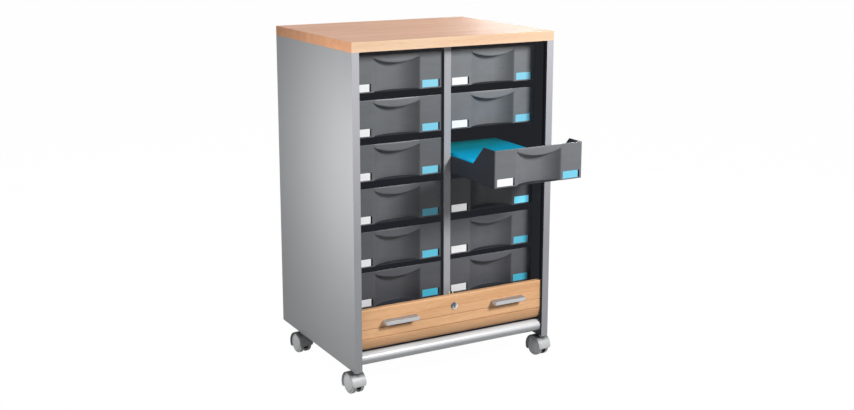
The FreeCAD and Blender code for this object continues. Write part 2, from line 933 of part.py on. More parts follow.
def castor_hood():
    """Hood over both wheels with its central web and swivel boss."""
    inner = wheel_radius + hood_gap
    outer = inner + hood_wall
    half = castor_width / 2
    shell = arc_band(inner, outer, hood_front_angle, hood_rear_angle, half)
    corners = edges_near(shell, lambda edge, at: is_corner(edge, at, half))
    shell = shell.makeFillet(hood_corner_round, corners)
    rims = edges_near(shell, lambda edge, at: abs(axle_distance(at) - outer) < 0.05)
    shell = shell.makeFillet(hood_edge_round, rims)
    web_half = hood_web_width / 2
    web = axle_rod(hood_web_radius, web_half)
    spoke_inner = hood_web_radius - hood_web_overlap
    spoke_outer = inner + hood_shell_overlap
    spoke = arc_band(spoke_inner, spoke_outer, hood_spoke_angle, hood_rear_angle - hood_spoke_angle, web_half)
    boss_top = side_bottom - collar_thickness - swivel_boss_gap
    boss = rod(swivel_boss_radius, (0, 0, boss_top - pivot_length), (0, 0, boss_top))
    wheel_room = axle_rod(inner, half + 1)
    room_end = castor_trail + outer
    wheel_room = wheel_room.cut(box(-web_half, web_half, -room_end, room_end, -1, side_bottom))
    boss = boss.cut(wheel_room)
    body = fuse([shell, web, spoke, boss])
    bore_low = side_bottom - collar_thickness - pivot_length - pivot_clearance
    bore = rod(pivot_radius + pivot_clearance, (0, 0, bore_low), (0, 0, side_bottom))
    return cut_all(body, [bore, axle_rod(axle_radius + axle_clearance, half)])


def axle_distance(at):
    """Distance of a point from the axle's line."""
    return math.hypot(at.y - castor_trail, at.z - wheel_radius)


def is_corner(edge, at, half):
    """Whether an edge of the hood's shell stands on its outer face at a corner."""
    return abs(abs(at.x) - half) < 0.05 and abs(edge.Length - hood_wall) < 0.05


def castor_wheel(side):
    """One wheel: rounded tread, domed outer face with a fine groove, and a blind bore for the axle."""
    inner = castor_width / 2 - wheel_width
    rim = castor_width / 2 - wheel_dome
    crown = castor_width / 2
    face_radius = wheel_radius - wheel_edge_round
    sphere = (face_radius ** 2 + wheel_dome ** 2) / (2 * wheel_dome)
    half_turn = math.asin(face_radius / sphere) / 2
    turn45 = math.sqrt(0.5)

    def point(x, radius):
        return V(side * x, castor_trail, wheel_radius + radius)

    tread_arc = point(rim - wheel_edge_round * (1 - turn45), face_radius + wheel_edge_round * turn45)
    dome_arc = point(crown - sphere + sphere * math.cos(half_turn), sphere * math.sin(half_turn))
    tread_end = point(rim - wheel_edge_round, wheel_radius)
    face_start = point(rim, face_radius)
    hub = [point(crown, 0), point(inner, 0)]
    tread = [point(inner, wheel_radius - wheel_inner_bevel), point(inner + wheel_inner_bevel, wheel_radius)]
    edges = Part.makePolygon(hub + tread + [tread_end]).Edges
    edges.append(Part.Arc(tread_end, tread_arc, face_start).toShape())
    edges.append(Part.Arc(face_start, dome_arc, point(crown, 0)).toShape())
    wheel = Part.Face(Part.Wire(edges)).revolve(point(0, 0), V(1, 0, 0), 360)
    ring = wheel_line_width / 2
    groove = rod(wheel_line_radius + ring, point(rim - wheel_line_depth, 0), point(crown + 1, 0))
    groove = groove.cut(rod(wheel_line_radius - ring, point(inner, 0), point(crown + 1, 0)))
    bore = rod(axle_radius, point(inner - 1, 0), point(inner + axle_engagement, 0))
    return cut_all(wheel, [groove, bore])


def castor_wheels():
    """Both wheels of a castor and the axle between them."""
    reach = castor_width / 2 - wheel_width + axle_engagement
    return group([castor_wheel(-1), castor_wheel(1), axle_rod(axle_radius, reach)])


# ---- folders ----

def card_folder():
    """Closed card folder with its paper set back between the covers."""
    half = folder_width / 2
    covers = []
    for z in (0, folder_thickness - folder_card):
        covers.append(box(-half, half, 0, folder_depth, z, z + folder_card))
    spine = box(-half, -half + folder_card, 0, folder_depth, 0, folder_thickness)
    paper = box(-half, half - folder_inset, folder_inset, folder_depth - folder_inset, 0, folder_thickness)
    return fuse(covers + [spine, paper])


def blue_folders():
    """Stack of card folders that lies in the open tray."""
    place = tray_place(*open_tray)
    centre_x = place.x - tray_width / 2 + tray_wall + folder_side_gap + folder_width / 2
    room_front = scoop_depth + tray_wall
    spare = tray_depth - tray_wall - room_front - folder_depth
    centre_y = place.y + room_front + folder_front_share * spare + folder_depth / 2
    folders = []
    for index, turn in zip(range(folder_count), folder_turns):
        folder = card_folder()
        z = place.z + tray_wall + folder_gap + index * (folder_thickness + folder_gap)
        folder.translate(V(0, -folder_depth / 2, 0))
        folder.rotate(V(0, 0, 0), V(0, 0, 1), turn)
        folder.translate(V(centre_x, centre_y, z))
        folders.append(folder)
    return group(folders)


def nodes():
    """Every sub-part by its node name."""
    parts = {
        "top_panel": top_panel(),
        "left_side_panel": side_panel(-1),
        "right_side_panel": side_panel(1),
        "back_panel": back_panel(),
        "inner_back": inner_back(),
        "bay_floor": bay_floor(),
        "bottom_board": bottom_board(),
        "divider": divider(),
        "divider_edging": divider_edging(),
        "cross_tube": cross_tube(),
        "curtain_tracks": group([curtain_track(-1), curtain_track(1)]),
        "stored_slats": stored_slats(),
        "stored_backing": backing(moving_slats, slat_count - 1),
        "tray_runners": tray_runners(),
        "runner_screws": runner_screws(),
        "top_stops": top_stops(),
        "panel_dowels": group(dowel_solids()),
        "lead_rail": lead_rail(),
        "follower_slat": follower_slat(),
        "curtain_backing": backing(rail_slats, moving_slats - 1),
        "bar_handles": group([bar_handle(-1), bar_handle(1)]),
        "handle_screws": handle_screws(),
        "lock_barrel": lock_barrel(),
        "lock_core": lock_core(),
        "lock_bolt": lock_bolt(),
        "bolt_guide": bolt_guide(),
        "blue_folders": blue_folders(),
    }
    stem, hood, wheels = castor_stem(), castor_hood(), castor_wheels()
    parts["castor_stems"] = group([castor_at(stem, name) for name in castor_turn])
    for name in castor_turn:
        parts["castor_hood_" + name] = castor_at(hood, name)
        parts["castor_wheels_" + name] = castor_at(wheels, name)
    shell, cards = tray(), labels()
    for column in columns:
        for row in range(1, tray_rows + 1):
            parts["tray_%s_%d" % (column, row)] = placed(shell, tray_place(column, row))
            parts["labels_%s_%d" % (column, row)] = placed(cards, tray_place(column, row))
    return parts


os.makedirs("parts", exist_ok=True)
for node, shape in nodes().items():
    shape.exportStep("parts/%s.step" % node)
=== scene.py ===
"""Looks of the classroom tray storage unit, built around its CAD frame.

Each sub-assembly is a class that builds its own pieces and dresses the CAD nodes it keeps.
Lengths are in metres, X runs to the right, the open front faces -Y and Z is up.
"""

import logging
import math
from collections.abc import Sequence
from dataclasses import dataclass, field
from enum import Enum

import bpy
import numpy as np
from mathutils import Matrix, Vector
from numpy.typing import NDArray


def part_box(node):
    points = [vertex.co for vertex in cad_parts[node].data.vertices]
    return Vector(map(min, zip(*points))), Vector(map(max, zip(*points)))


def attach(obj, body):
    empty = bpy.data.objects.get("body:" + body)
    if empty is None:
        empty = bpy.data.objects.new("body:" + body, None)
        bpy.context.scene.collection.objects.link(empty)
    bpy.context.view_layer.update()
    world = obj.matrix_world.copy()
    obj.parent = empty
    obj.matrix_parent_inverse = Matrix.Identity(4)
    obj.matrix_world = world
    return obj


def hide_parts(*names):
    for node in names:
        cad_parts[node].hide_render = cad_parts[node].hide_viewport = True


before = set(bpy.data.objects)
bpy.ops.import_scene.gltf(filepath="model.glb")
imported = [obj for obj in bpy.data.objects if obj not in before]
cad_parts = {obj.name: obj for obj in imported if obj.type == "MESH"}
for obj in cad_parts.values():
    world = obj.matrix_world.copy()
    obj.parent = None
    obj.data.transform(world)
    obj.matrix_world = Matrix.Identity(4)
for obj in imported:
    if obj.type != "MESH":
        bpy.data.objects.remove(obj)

log = logging.getLogger("tray_unit")

Array = NDArray[np.float64]
Indices = NDArray[np.int64]
Piece = bpy.types.Object
Colour = tuple[float, float, float]
Socket = bpy.types.NodeSocket

MM = 0.001
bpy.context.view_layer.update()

END_FILL = 0.98
MERGE_DISTANCE = 0.000005
SMOOTH_ANGLE = 32.0
BEVEL_ANGLE = 40.0
BEVEL_SEGMENTS = 3


# ---------------------------------------------------------------------------------------------------------------
# Small helpers
# ---------------------------------------------------------------------------------------------------------------


def srgb(red: int, green: int, blue: int) -> Colour:
    """Turns 8-bit screen values into a linear colour.

    Args:
        red: Screen red from 0 to 255.
        green: Screen green from 0 to 255.
        blue: Screen blue from 0 to 255.

    Returns:
        The linear colour.
    """
    values = np.array([red, green, blue]) / 255.0
    linear = np.where(values <= 0.04045, values / 12.92, ((values + 0.055) / 1.055) ** 2.4)
    return float(linear[0]), float(linear[1]), float(linear[2])


def node_box(node: str) -> tuple[Array, Array]:
    """Gives the lowest and highest corner of a CAD node.

    Args:
        node: The node's name.

    Returns:
        Both corners in metres.
    """
    low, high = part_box(node)
    return np.array(low), np.array(high)


def between(first: Colour, second: Colour, share: float) -> Colour:
    """Blends two colours.

    Args:
        first: Colour at share 0.
        second: Colour at share 1.
        share: How far to go from the first to the second.

    Returns:
        The blended colour.
    """
    return tuple(a + (b - a) * share for a, b in zip(first, second))


# ---------------------------------------------------------------------------------------------------------------
# Shapes
# ---------------------------------------------------------------------------------------------------------------


@dataclass
class Shell:
    """Closed surface: points in millimetres, quads of corner numbers and one finish number per quad."""

    points: Array
    quads: Indices
    finish: Indices

    def outward(self) -> "Shell":
        """Turns the quads so that they face outwards, by the sign of the volume that they enclose.

        Returns:
            The shell itself.
        """
        a, b, c, d = (self.points[self.quads[:, k]] for k in range(4))
        volume = np.einsum("ij,ij->", a, np.cross(b, c)) + np.einsum("ij,ij->", a, np.cross(c, d))
        if volume < 0:
            self.quads = self.quads[:, ::-1]
        return self

    def moved(self, x: float, y: float, z: float) -> "Shell":
        """Copies the shell to another place.

        Args:
            x: Shift to the right.
            y: Shift to the rear.
            z: Shift upwards.

        Returns:
            The copy.
        """
        return Shell(self.points + np.array([x, y, z]), self.quads, self.finish)


def join(shells: Sequence[Shell]) -> Shell:
    """Puts several shells into one, with their corner numbers shifted.

    Args:
        shells: The shells.

    Returns:
        One shell.
    """
    starts = np.cumsum([0] + [len(s.points) for s in shells[:-1]])
    return Shell(
        np.concatenate([s.points for s in shells]),
        np.concatenate([s.quads + start for s, start in zip(shells, starts)]),
        np.concatenate([s.finish for s in shells]),
    )


def grid_quads(rows: int, columns: int) -> Indices:
    """Quads between neighbouring outlines, whose last point joins their first.

    Args:
        rows: Number of outlines.
        columns: Number of points in each.

    Returns:
        One row of four corner numbers per quad, outline by outline.
    """
    r, c = np.meshgrid(np.arange(rows - 1), np.arange(columns), indexing="ij")
    c1 = (c + 1) % columns
    quads = np.stack([r * columns + c, r * columns + c1, (r + 1) * columns + c1, (r + 1) * columns + c], axis=-1)
    return quads.reshape(-1, 4)


def loft(outlines: Array, finish: int = 0) -> Shell:
    """Closed surface carried through a row of closed outlines.

    Point i of an outline joins point i of the next. Each end is closed by quads between the points that stand
    opposite each other, i and last - i.

    Args:
        outlines: Points by outline, by place in the outline, and by axis.
        finish: Number of the finish.

    Returns:
        The surface.
    """
    count, size = outlines.shape[:2]
    i = np.arange(size // 2 - 1)
    cap = np.stack([i, i + 1, size - 2 - i, size - 1 - i], axis=1)
    quads = np.concatenate([grid_quads(count, size), cap[:, ::-1], cap + (count - 1) * size])
    return Shell(outlines.reshape(-1, 3), quads, np.full(len(quads), finish)).outward()


def rounded_outline(low: tuple[float, float], high: tuple[float, float], radius: float, steps: int = 3) -> Array:
    """Rectangle with a quarter circle at each corner, from its lower left corner anticlockwise.

    Args:
        low: Lower left corner.
        high: Upper right corner.
        radius: Radius of the corners.
        steps: Number of chords in each quarter circle.

    Returns:
        Two coordinates per point.
    """
    angles = np.radians(np.linspace(0.0, 90.0, steps + 1))
    parts = []
    corners = ((180, low[0], low[1]), (270, high[0], low[1]), (0, high[0], high[1]), (90, low[0], high[1]))
    for start, u, v in corners:
        turn = angles + math.radians(start)
        inward_u = radius if u == low[0] else -radius
        inward_v = radius if v == low[1] else -radius
        parts.append(np.stack([u + inward_u + radius * np.cos(turn), v + inward_v + radius * np.sin(turn)], axis=1))
    return np.concatenate(parts)


def bar(low: Sequence[float], high: Sequence[float], radius: float, finish: int = 0) -> Shell:
    """Straight bar along X between two corners, its long edges rounded and its ends drawn in by the same radius.

    The outline shrinks over a quarter circle at both ends: at a distance d from the end it is smaller all round by
    radius - sqrt(radius^2 - (radius - d)^2).

    Args:
        low: Lowest corner.
        high: Highest corner.
        radius: Radius of every edge.
        finish: Number of the finish.

    Returns:
        The bar.
    """
    turn = np.radians([0.0, 30.0, 60.0, 90.0])
    reach = radius * (1 - np.cos(turn))
    inset = radius * (1 - np.sin(turn)) * END_FILL
    along = np.concatenate([low[0] + reach, (high[0] - reach)[::-1]])
    shrink = np.concatenate([inset, inset[::-1]])
    flat = rounded_outline((low[1], low[2]), (high[1], high[2]), radius)
    middle = np.array([(low[1] + high[1]) / 2, (low[2] + high[2]) / 2])
    half = np.array([(high[1] - low[1]) / 2, (high[2] - low[2]) / 2])
    outlines = np.zeros((len(along), len(flat), 3))
    outlines[:, :, 0] = along[:, None]
    for column in (0, 1):
        factor = 1 - shrink / half[column]
        outlines[:, :, column + 1] = middle[column] + (flat[:, column] - middle[column])[None, :] * factor[:, None]
    return loft(outlines, finish)


def make_piece(name: str, shell: Shell, body: str, nodes: Sequence[str], crease: float = 34.0) -> Piece:
    """Makes an object from a shell, smooth except at its sharp edges, puts it on its body and hides the CAD nodes
    that it replaces.

    Args:
        name: The piece's name.
        shell: Its surface, in millimetres.
        body: The body that it rides on.
        nodes: The CAD nodes that it replaces.
        crease: Angle in degrees above which an edge stays sharp.

    Returns:
        The object.
    """
    mesh = bpy.data.meshes.new(name)
    mesh.vertices.add(len(shell.points))
    mesh.vertices.foreach_set("co", np.ascontiguousarray(shell.points * MM, np.float32).ravel())
    mesh.loops.add(shell.quads.size)
    mesh.loops.foreach_set("vertex_index", np.ascontiguousarray(shell.quads, np.int32).ravel())
    mesh.polygons.add(len(shell.quads))
    mesh.polygons.foreach_set("loop_start", np.arange(0, shell.quads.size, 4, dtype=np.int32))
    mesh.update(calc_edges=True)
    mesh.polygons.foreach_set("use_smooth", np.full(len(shell.quads), True))
    mesh.polygons.foreach_set("material_index", np.ascontiguousarray(shell.finish, np.int32))
    mesh.set_sharp_from_angle(angle=math.radians(crease))
    piece = bpy.data.objects.new(name, mesh)
    bpy.context.scene.collection.objects.link(piece)
    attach(piece, body)
    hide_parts(*nodes)
    log.info("made %s: %d quads on %s", name, len(shell.quads), body)
    return piece


def paint(piece: Piece, *materials: bpy.types.Material) -> None:
    """Gives a piece its finishes.

    Args:
        piece: The piece.
        materials: Its finishes, in the order of their numbers.
    """
    for material in materials:
        piece.data.materials.append(material)


def smoothing_group() -> bpy.types.NodeTree:
    """Geometry nodes that join loose triangles and shade them smooth except at sharp edges.

    Returns:
        The node group, made once.
    """
    found = bpy.data.node_groups.get("joined_and_smooth")
    if found:
        return found
    tree = bpy.data.node_groups.new("joined_and_smooth", "GeometryNodeTree")
    tree.interface.new_socket("Geometry", in_out="INPUT", socket_type="NodeSocketGeometry")
    tree.interface.new_socket("Geometry", in_out="OUTPUT", socket_type="NodeSocketGeometry")
    start = tree.nodes.new("NodeGroupInput")
    end = tree.nodes.new("NodeGroupOutput")
    merge = tree.nodes.new("GeometryNodeMergeByDistance")
    merge.inputs["Distance"].default_value = MERGE_DISTANCE
    faces = tree.nodes.new("GeometryNodeSetShadeSmooth")
    faces.domain = "FACE"
    angle = tree.nodes.new("GeometryNodeInputMeshEdgeAngle")
    sharp = tree.nodes.new("FunctionNodeCompare")
    sharp.data_type = "FLOAT"
    sharp.operation = "GREATER_THAN"
    sharp.inputs[1].default_value = math.radians(SMOOTH_ANGLE)
    edges = tree.nodes.new("GeometryNodeSetShadeSmooth")
    edges.domain = "EDGE"
    edges.inputs["Shade Smooth"].default_value = False
    tree.links.new(start.outputs[0], merge.inputs["Geometry"])
    tree.links.new(merge.outputs["Geometry"], faces.inputs["Geometry"])
    tree.links.new(faces.outputs["Geometry"], edges.inputs["Geometry"])
    tree.links.new(angle.outputs["Unsigned Angle"], sharp.inputs[0])
    tree.links.new(sharp.outputs["Result"], edges.inputs["Selection"])
    tree.links.new(edges.outputs["Geometry"], end.inputs[0])
    return tree


def soften(nodes: Sequence[str], width: float = 0.0) -> None:
    """Joins a CAD node's triangles, shades them smooth and rounds its sharp edges.

    Args:
        nodes: Names of the nodes.
        width: Width of the rounding in millimetres, or 0 for none.
    """
    for name in nodes:
        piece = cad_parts[name]
        piece.modifiers.new("joined", "NODES").node_group = smoothing_group()
        if width > 0:
            bevel = piece.modifiers.new("rounded", "BEVEL")
            bevel.width = width * MM
            bevel.segments = BEVEL_SEGMENTS
            bevel.limit_method = "ANGLE"
            bevel.angle_limit = math.radians(BEVEL_ANGLE)
            bevel.harden_normals = True


def blend_step(value: Array) -> Array:
    """Smooth step from 0 to 1, 3t^2 - 2t^3 with t held between 0 and 1.

    Args:
        value: The values t before they are held.

    Returns:
        The steps.
    """
    t = np.clip(value, 0.0, 1.0)
    return t * t * (3 - 2 * t)


# ---------------------------------------------------------------------------------------------------------------
# Finishes
# ---------------------------------------------------------------------------------------------------------------


class Graph:
    """Node graph of one material, with a Principled shader at its end."""

    def __init__(self, name: str) -> None:
        """Makes an empty material.

        Args:
            name: The material's name.
        """
        self.material = bpy.data.materials.new(name)
        self.material.use_nodes = True
        self.tree = self.material.node_tree
        self.shader = self.tree.nodes["Principled BSDF"]
        self.position: Socket = self.tree.nodes.new("ShaderNodeTexCoord").outputs["Object"]

    def set(self, **values: float | Sequence[float]) -> None:
        """Sets the shader's own sockets.

        Args:
            values: Value by socket name, with _ standing for a space in the name.
        """
        for key, value in values.items():
            self.shader.inputs[key.replace("_", " ")].default_value = value

    def link(self, source: Socket, name: str) -> None:
        """Feeds a socket into one of the shader's inputs.

        Args:
            source: The socket that gives the value.
            name: Name of the shader's input.
        """
        self.tree.links.new(source, self.shader.inputs[name])

    def _feed(self, node: bpy.types.Node, index: int | str, value: object) -> None:
        """Links or sets one input of a node.

        Args:
            node: The node.
            index: Number or name of its input.
            value: Socket to link, value to set, or None to leave the input.
        """
        if isinstance(value, bpy.types.NodeSocket):
            self.tree.links.new(value, node.inputs[index])
        elif value is not None:
            node.inputs[index].default_value = value

    def stretch(self, scale: Sequence[float], move: Sequence[float] = (0, 0, 0)) -> Socket:
        """Object coordinates moved and stretched along each axis.

        Args:
            scale: Factor on each axis.
            move: Shift on each axis after the scaling.

        Returns:
            The stretched coordinates.
        """
        node = self.tree.nodes.new("ShaderNodeMapping")
        self._feed(node, "Vector", self.position)
        self._feed(node, "Scale", scale)
        self._feed(node, "Location", move)
        return node.outputs["Vector"]

    def noise(
        self, vector: Socket, scale: float, detail: float = 2.0, rough: float = 0.5, warp: float = 0.0
    ) -> Socket:
        """Fractal noise from 0 to 1.

        Args:
            vector: Where the noise is read.
            scale: Cells per metre of the vector.
            detail: Octaves.
            rough: Share that each octave keeps.
            warp: Distortion.

        Returns:
            The noise value.
        """
        node = self.tree.nodes.new("ShaderNodeTexNoise")
        self._feed(node, "Vector", vector)
        self._feed(node, "Scale", scale)
        self._feed(node, "Detail", detail)
        self._feed(node, "Roughness", rough)
        self._feed(node, "Distortion", warp)
        return node.outputs["Fac"]

    def ramp(self, value: Socket, low: float, high: float, to_low: float = 0.0, to_high: float = 1.0) -> Socket:
        """Clamped linear map from one range to another.

        Args:
            value: The value to map.
            low: Value that gives to_low.
            high: Value that gives to_high.
            to_low: Result at low.
            to_high: Result at high.

        Returns:
            The mapped value.
        """
        node = self.tree.nodes.new("ShaderNodeMapRange")
        for index, number in enumerate((value, low, high, to_low, to_high)):
            self._feed(node, index, number)
        return node.outputs["Result"]

    def math(self, kind: str, first: object, second: object = None) -> Socket:
        """One arithmetic step on two values.

        Args:
            kind: Blender's name of the operation.
            first: First value or socket.
            second: Second value or socket.

        Returns:
            The result.
        """
        node = self.tree.nodes.new("ShaderNodeMath")
        node.operation = kind
        self._feed(node, 0, first)
        self._feed(node, 1, second)
        return node.outputs["Value"]

    def mix(self, factor: object, first: object, second: object, kind: str = "MIX") -> Socket:
        """Blend of two colours.

        Args:
            factor: Share of the second colour.
            first: First colour or socket.
            second: Second colour or socket.
            kind: Blender's name of the blend.

        Returns:
            The blended colour.
        """
        node = self.tree.nodes.new("ShaderNodeMix")
        node.data_type = "RGBA"
        node.blend_type = kind
        self._feed(node, 0, factor)
        self._feed(node, 6, (*first, 1.0) if isinstance(first, tuple) else first)
        self._feed(node, 7, (*second, 1.0) if isinstance(second, tuple) else second)
        return node.outputs[2]

    def tinted(self, body: Socket, value: Socket, low: float, high: float, dark: float) -> Socket:
        """Colour times a grey that rises to white with a value.

        Args:
            body: The colour.
            value: The value that the grey follows.
            low: Value that gives the darkest grey.
            high: Value that gives white.
            dark: The darkest grey, from 0 to 1.

        Returns:
            The tinted colour.
        """
        tint = self.mix(self.ramp(value, low, high), (dark, dark, dark), (1.0, 1.0, 1.0))
        return self.mix(1.0, body, tint, "MULTIPLY")

    def axis(self, name: str) -> Socket:
        """One coordinate of the object position.

        Args:
            name: X, Y or Z.

        Returns:
            The coordinate in metres.
        """
        node = self.tree.nodes.new("ShaderNodeSeparateXYZ")
        self._feed(node, 0, self.position)
        return node.outputs[name]

    def normal_axis(self, name: str) -> Socket:
        """One coordinate of the surface's own direction.

        Args:
            name: X, Y or Z.

        Returns:
            The coordinate, from -1 to 1.
        """
        geometry = self.tree.nodes.new("ShaderNodeNewGeometry")
        node = self.tree.nodes.new("ShaderNodeSeparateXYZ")
        self._feed(node, 0, geometry.outputs["Normal"])
        return node.outputs[name]

    def bump(self, height: Socket, distance: float, strength: float = 1.0) -> None:
        """Adds relief to the shader.

        Args:
            height: Height from 0 to 1.
            distance: Height in metres that 1 stands for.
            strength: Share of the relief that shows.
        """
        node = self.tree.nodes.new("ShaderNodeBump")
        self._feed(node, "Height", height)
        self._feed(node, "Distance", distance)
        self._feed(node, "Strength", strength)
        self.link(node.outputs["Normal"], "Normal")


class Grain(Enum):
    """Direction in which wood grain runs."""

    ALONG_X = (1.0, 14.0, 14.0)
    ALONG_Z = (14.0, 14.0, 1.0)


@dataclass(frozen=True)
class Beech:
    """Beech-effect laminate with fine flecks and slow bands of tone."""

    name: str
    light: Colour
    dark: Colour
    grain: Grain = Grain.ALONG_X
    roughness: float = 0.42
    fine: float = 1.0
    specular: float = 0.3
    front: Colour | None = None
    bend: tuple[float, float] | None = None
    bend_shade_share: float = 0.66
    bend_shade_dark: float = 0.22

    def build(self) -> bpy.types.Material:
        """Builds the material: slow bands, fine streaks and short dark flecks along the grain.

        Faces that look forward take the front tone, partly the edge's own paler tone and partly a painted
        highlight, and the foil is painted darker from the bend's upper end to its lower end as painted shade.

        Returns:
            The material.
        """
        g = Graph(self.name)
        along = g.stretch(self.grain.value)
        bands = g.noise(along, 2.2 * self.fine, 3.0, 0.55, 0.4)
        streaks = g.noise(along, 30.0 * self.fine, 4.0, 0.6)
        flecks = g.noise(g.stretch(tuple(v * 3.0 for v in self.grain.value), (3.1, 1.7, 0.4)), 60.0, 2.0, 0.5)
        tone = g.math("ADD", g.math("MULTIPLY", bands, 0.55), g.math("MULTIPLY", streaks, 0.45))
        body = g.mix(g.ramp(tone, 0.36, 0.66), self.light, self.dark)
        # Faces that look forward are paler: partly the edge band's own tone and partly a painted highlight.
        if self.front:
            ahead = g.ramp(g.math("MULTIPLY", g.normal_axis("Y"), -1.0), 0.3, 0.8)
            pale = g.mix(g.ramp(tone, 0.36, 0.66), self.front, between(self.front, self.light, 0.5))
            body = g.mix(ahead, body, pale)
        # Painted shade: the foil darkens towards the lower end of the bend, where the curtain turns under.
        if self.bend:
            bend_shade = g.ramp(g.axis("Z"), self.bend[0], self.bend[1], self.bend_shade_share, 0.0)
            body = g.mix(bend_shade, body, tuple(c * self.bend_shade_dark for c in self.dark))
        fleck = g.ramp(flecks, 0.60, 0.74, 0.0, 0.28)
        shade = tuple(c * 0.62 for c in self.dark)
        g.link(g.mix(fleck, body, shade), "Base Color")
        g.link(g.ramp(streaks, 0.3, 0.7, self.roughness - 0.05, self.roughness + 0.06), "Roughness")
        g.bump(g.math("SUBTRACT", streaks, fleck), 0.00006, 0.6)
        g.set(Specular_IOR_Level=self.specular)
        return g.material


@dataclass(frozen=True)
class Laminate:
    """Plain melamine board with a fine pearl grain and an almost unseen cloud of tone."""

    name: str
    colour: Colour
    spread: float = 0.05
    roughness: float = 0.46
    specular: float = 0.4
    glow: Colour = (0.0, 0.0, 0.0)

    def build(self) -> bpy.types.Material:
        """Builds the material: fine speckle, slow clouds and a pebbled relief.

        Returns:
            The material.
        """
        g = Graph(self.name)
        speckle = g.noise(g.position, 2600.0, 2.0, 0.6)
        clouds = g.noise(g.position, 4.0, 3.0, 0.5)
        low = tuple(c * (1 - self.spread) for c in self.colour)
        high = tuple(min(1.0, c * (1 + self.spread)) for c in self.colour)
        both = g.math("ADD", g.math("MULTIPLY", speckle, 0.7), g.math("MULTIPLY", clouds, 0.3))
        g.link(g.mix(g.ramp(both, 0.35, 0.65), low, high), "Base Color")
        g.link(g.ramp(clouds, 0.35, 0.65, self.roughness - 0.04, self.roughness + 0.04), "Roughness")
        g.bump(g.noise(g.position, 900.0, 3.0, 0.6), 0.00003, 0.5)
        g.set(Specular_IOR_Level=self.specular)
        # The glow is painted light: it lifts dark surfaces that the lamps hardly reach.
        g.set(Emission_Color=(*self.glow, 1.0), Emission_Strength=1.0)
        return g.material


@dataclass(frozen=True)
class SidePanelFinish:
    """Silver grey board outside and on its edges, dark board on the side that faces the trays."""

    name: str
    side: int
    outside: Colour
    edge_high: Colour
    edge_low: Colour
    inside: Colour
    glow: Colour
    edge_from: float = 0.42
    edge_full: float = 0.95

    def build(self) -> bpy.types.Material:
        """Builds the material: the surface's direction chooses between outside, edge and inside; the edge is
        painted darker towards the bottom as painted shade, and the inside has a glow that is painted light.

        Returns:
            The material.
        """
        g = Graph(self.name)
        facing = g.math("MULTIPLY", g.normal_axis("X"), float(-self.side))
        forward = g.math("MULTIPLY", g.normal_axis("Y"), -1.0)
        inward = g.ramp(facing, 0.5, 0.52)
        ahead = g.ramp(forward, 0.5, 0.52)
        speckle = g.noise(g.position, 2600.0, 2.0, 0.6)
        clouds = g.noise(g.position, 3.5, 3.0, 0.5)
        # Painted shade: the front edge darkens from its top to its bottom.
        edge = g.mix(g.ramp(g.axis("Z"), self.edge_from, self.edge_full), self.edge_low, self.edge_high)
        grey = g.mix(ahead, self.outside, edge)
        body = g.mix(inward, grey, self.inside)
        both = g.math("ADD", g.math("MULTIPLY", speckle, 0.7), g.math("MULTIPLY", clouds, 0.3))
        g.link(g.tinted(body, both, 0.35, 0.65, 0.90), "Base Color")
        g.link(g.ramp(clouds, 0.35, 0.65, 0.38, 0.46), "Roughness")
        g.bump(g.noise(g.position, 900.0, 3.0, 0.6), 0.00003, 0.5)
        # Painted light: the inside faces glow to lift them out of the cabinet's shade.
        g.link(g.mix(inward, (0.0, 0.0, 0.0), self.glow), "Emission Color")
        g.link(g.ramp(inward, 0.0, 1.0, 0.3, 0.03), "Specular IOR Level")
        g.set(Emission_Strength=1.0)
        return g.material


@dataclass(frozen=True)
class Moulded:
    """Moulded plastic with a fine sparked texture, faint flow marks and rubbed high spots."""

    name: str
    colour: Colour
    roughness: float = 0.40
    grit: float = 1400.0
    relief: float = 0.00004
    specular: float = 0.3
    glow: Colour = (0.0, 0.0, 0.0)
    left_face_shade: float = 1.0
    left_shade_from: float = -0.12
    left_shade_full: float = -0.5

    def build(self) -> bpy.types.Material:
        """Builds the material: spark texture, slow flow marks, lighter rubbed patches and painted shade on faces
        that turn to the left.

        Returns:
            The material.
        """
        g = Graph(self.name)
        grit = g.noise(g.position, self.grit, 3.0, 0.65)
        flow = g.noise(g.stretch((6.0, 6.0, 18.0)), 3.0, 3.0, 0.55, 0.6)
        rubbed = g.noise(g.position, 34.0, 4.0, 0.7)
        low = tuple(c * 0.96 for c in self.colour)
        high = tuple(min(1.0, c * 1.04) for c in self.colour)
        body = g.mix(g.ramp(flow, 0.35, 0.65), low, high)
        pale = tuple(min(1.0, c * 1.2 + 0.003) for c in self.colour)
        speck = g.math("ADD", g.ramp(rubbed, 0.60, 0.74, 0.0, 0.10), g.ramp(grit, 0.45, 0.75, 0.0, 0.25))
        # Painted shade: faces that turn to the left take a darker colour.
        left_face_mask = g.ramp(g.normal_axis("X"), self.left_shade_from, self.left_shade_full)
        tint = g.mix(left_face_mask, (1.0, 1.0, 1.0), (self.left_face_shade, self.left_face_shade, self.left_face_shade))
        g.link(g.mix(1.0, g.mix(speck, body, pale), tint, "MULTIPLY"), "Base Color")
        g.link(g.ramp(rubbed, 0.35, 0.7, self.roughness + 0.05, self.roughness - 0.05), "Roughness")
        g.bump(grit, self.relief, 0.7)
        g.set(Specular_IOR_Level=self.specular)
        # The glow is painted light: it lifts dark plastic that lies in shade.
        g.set(Emission_Color=(*self.glow, 1.0), Emission_Strength=1.0)
        return g.material


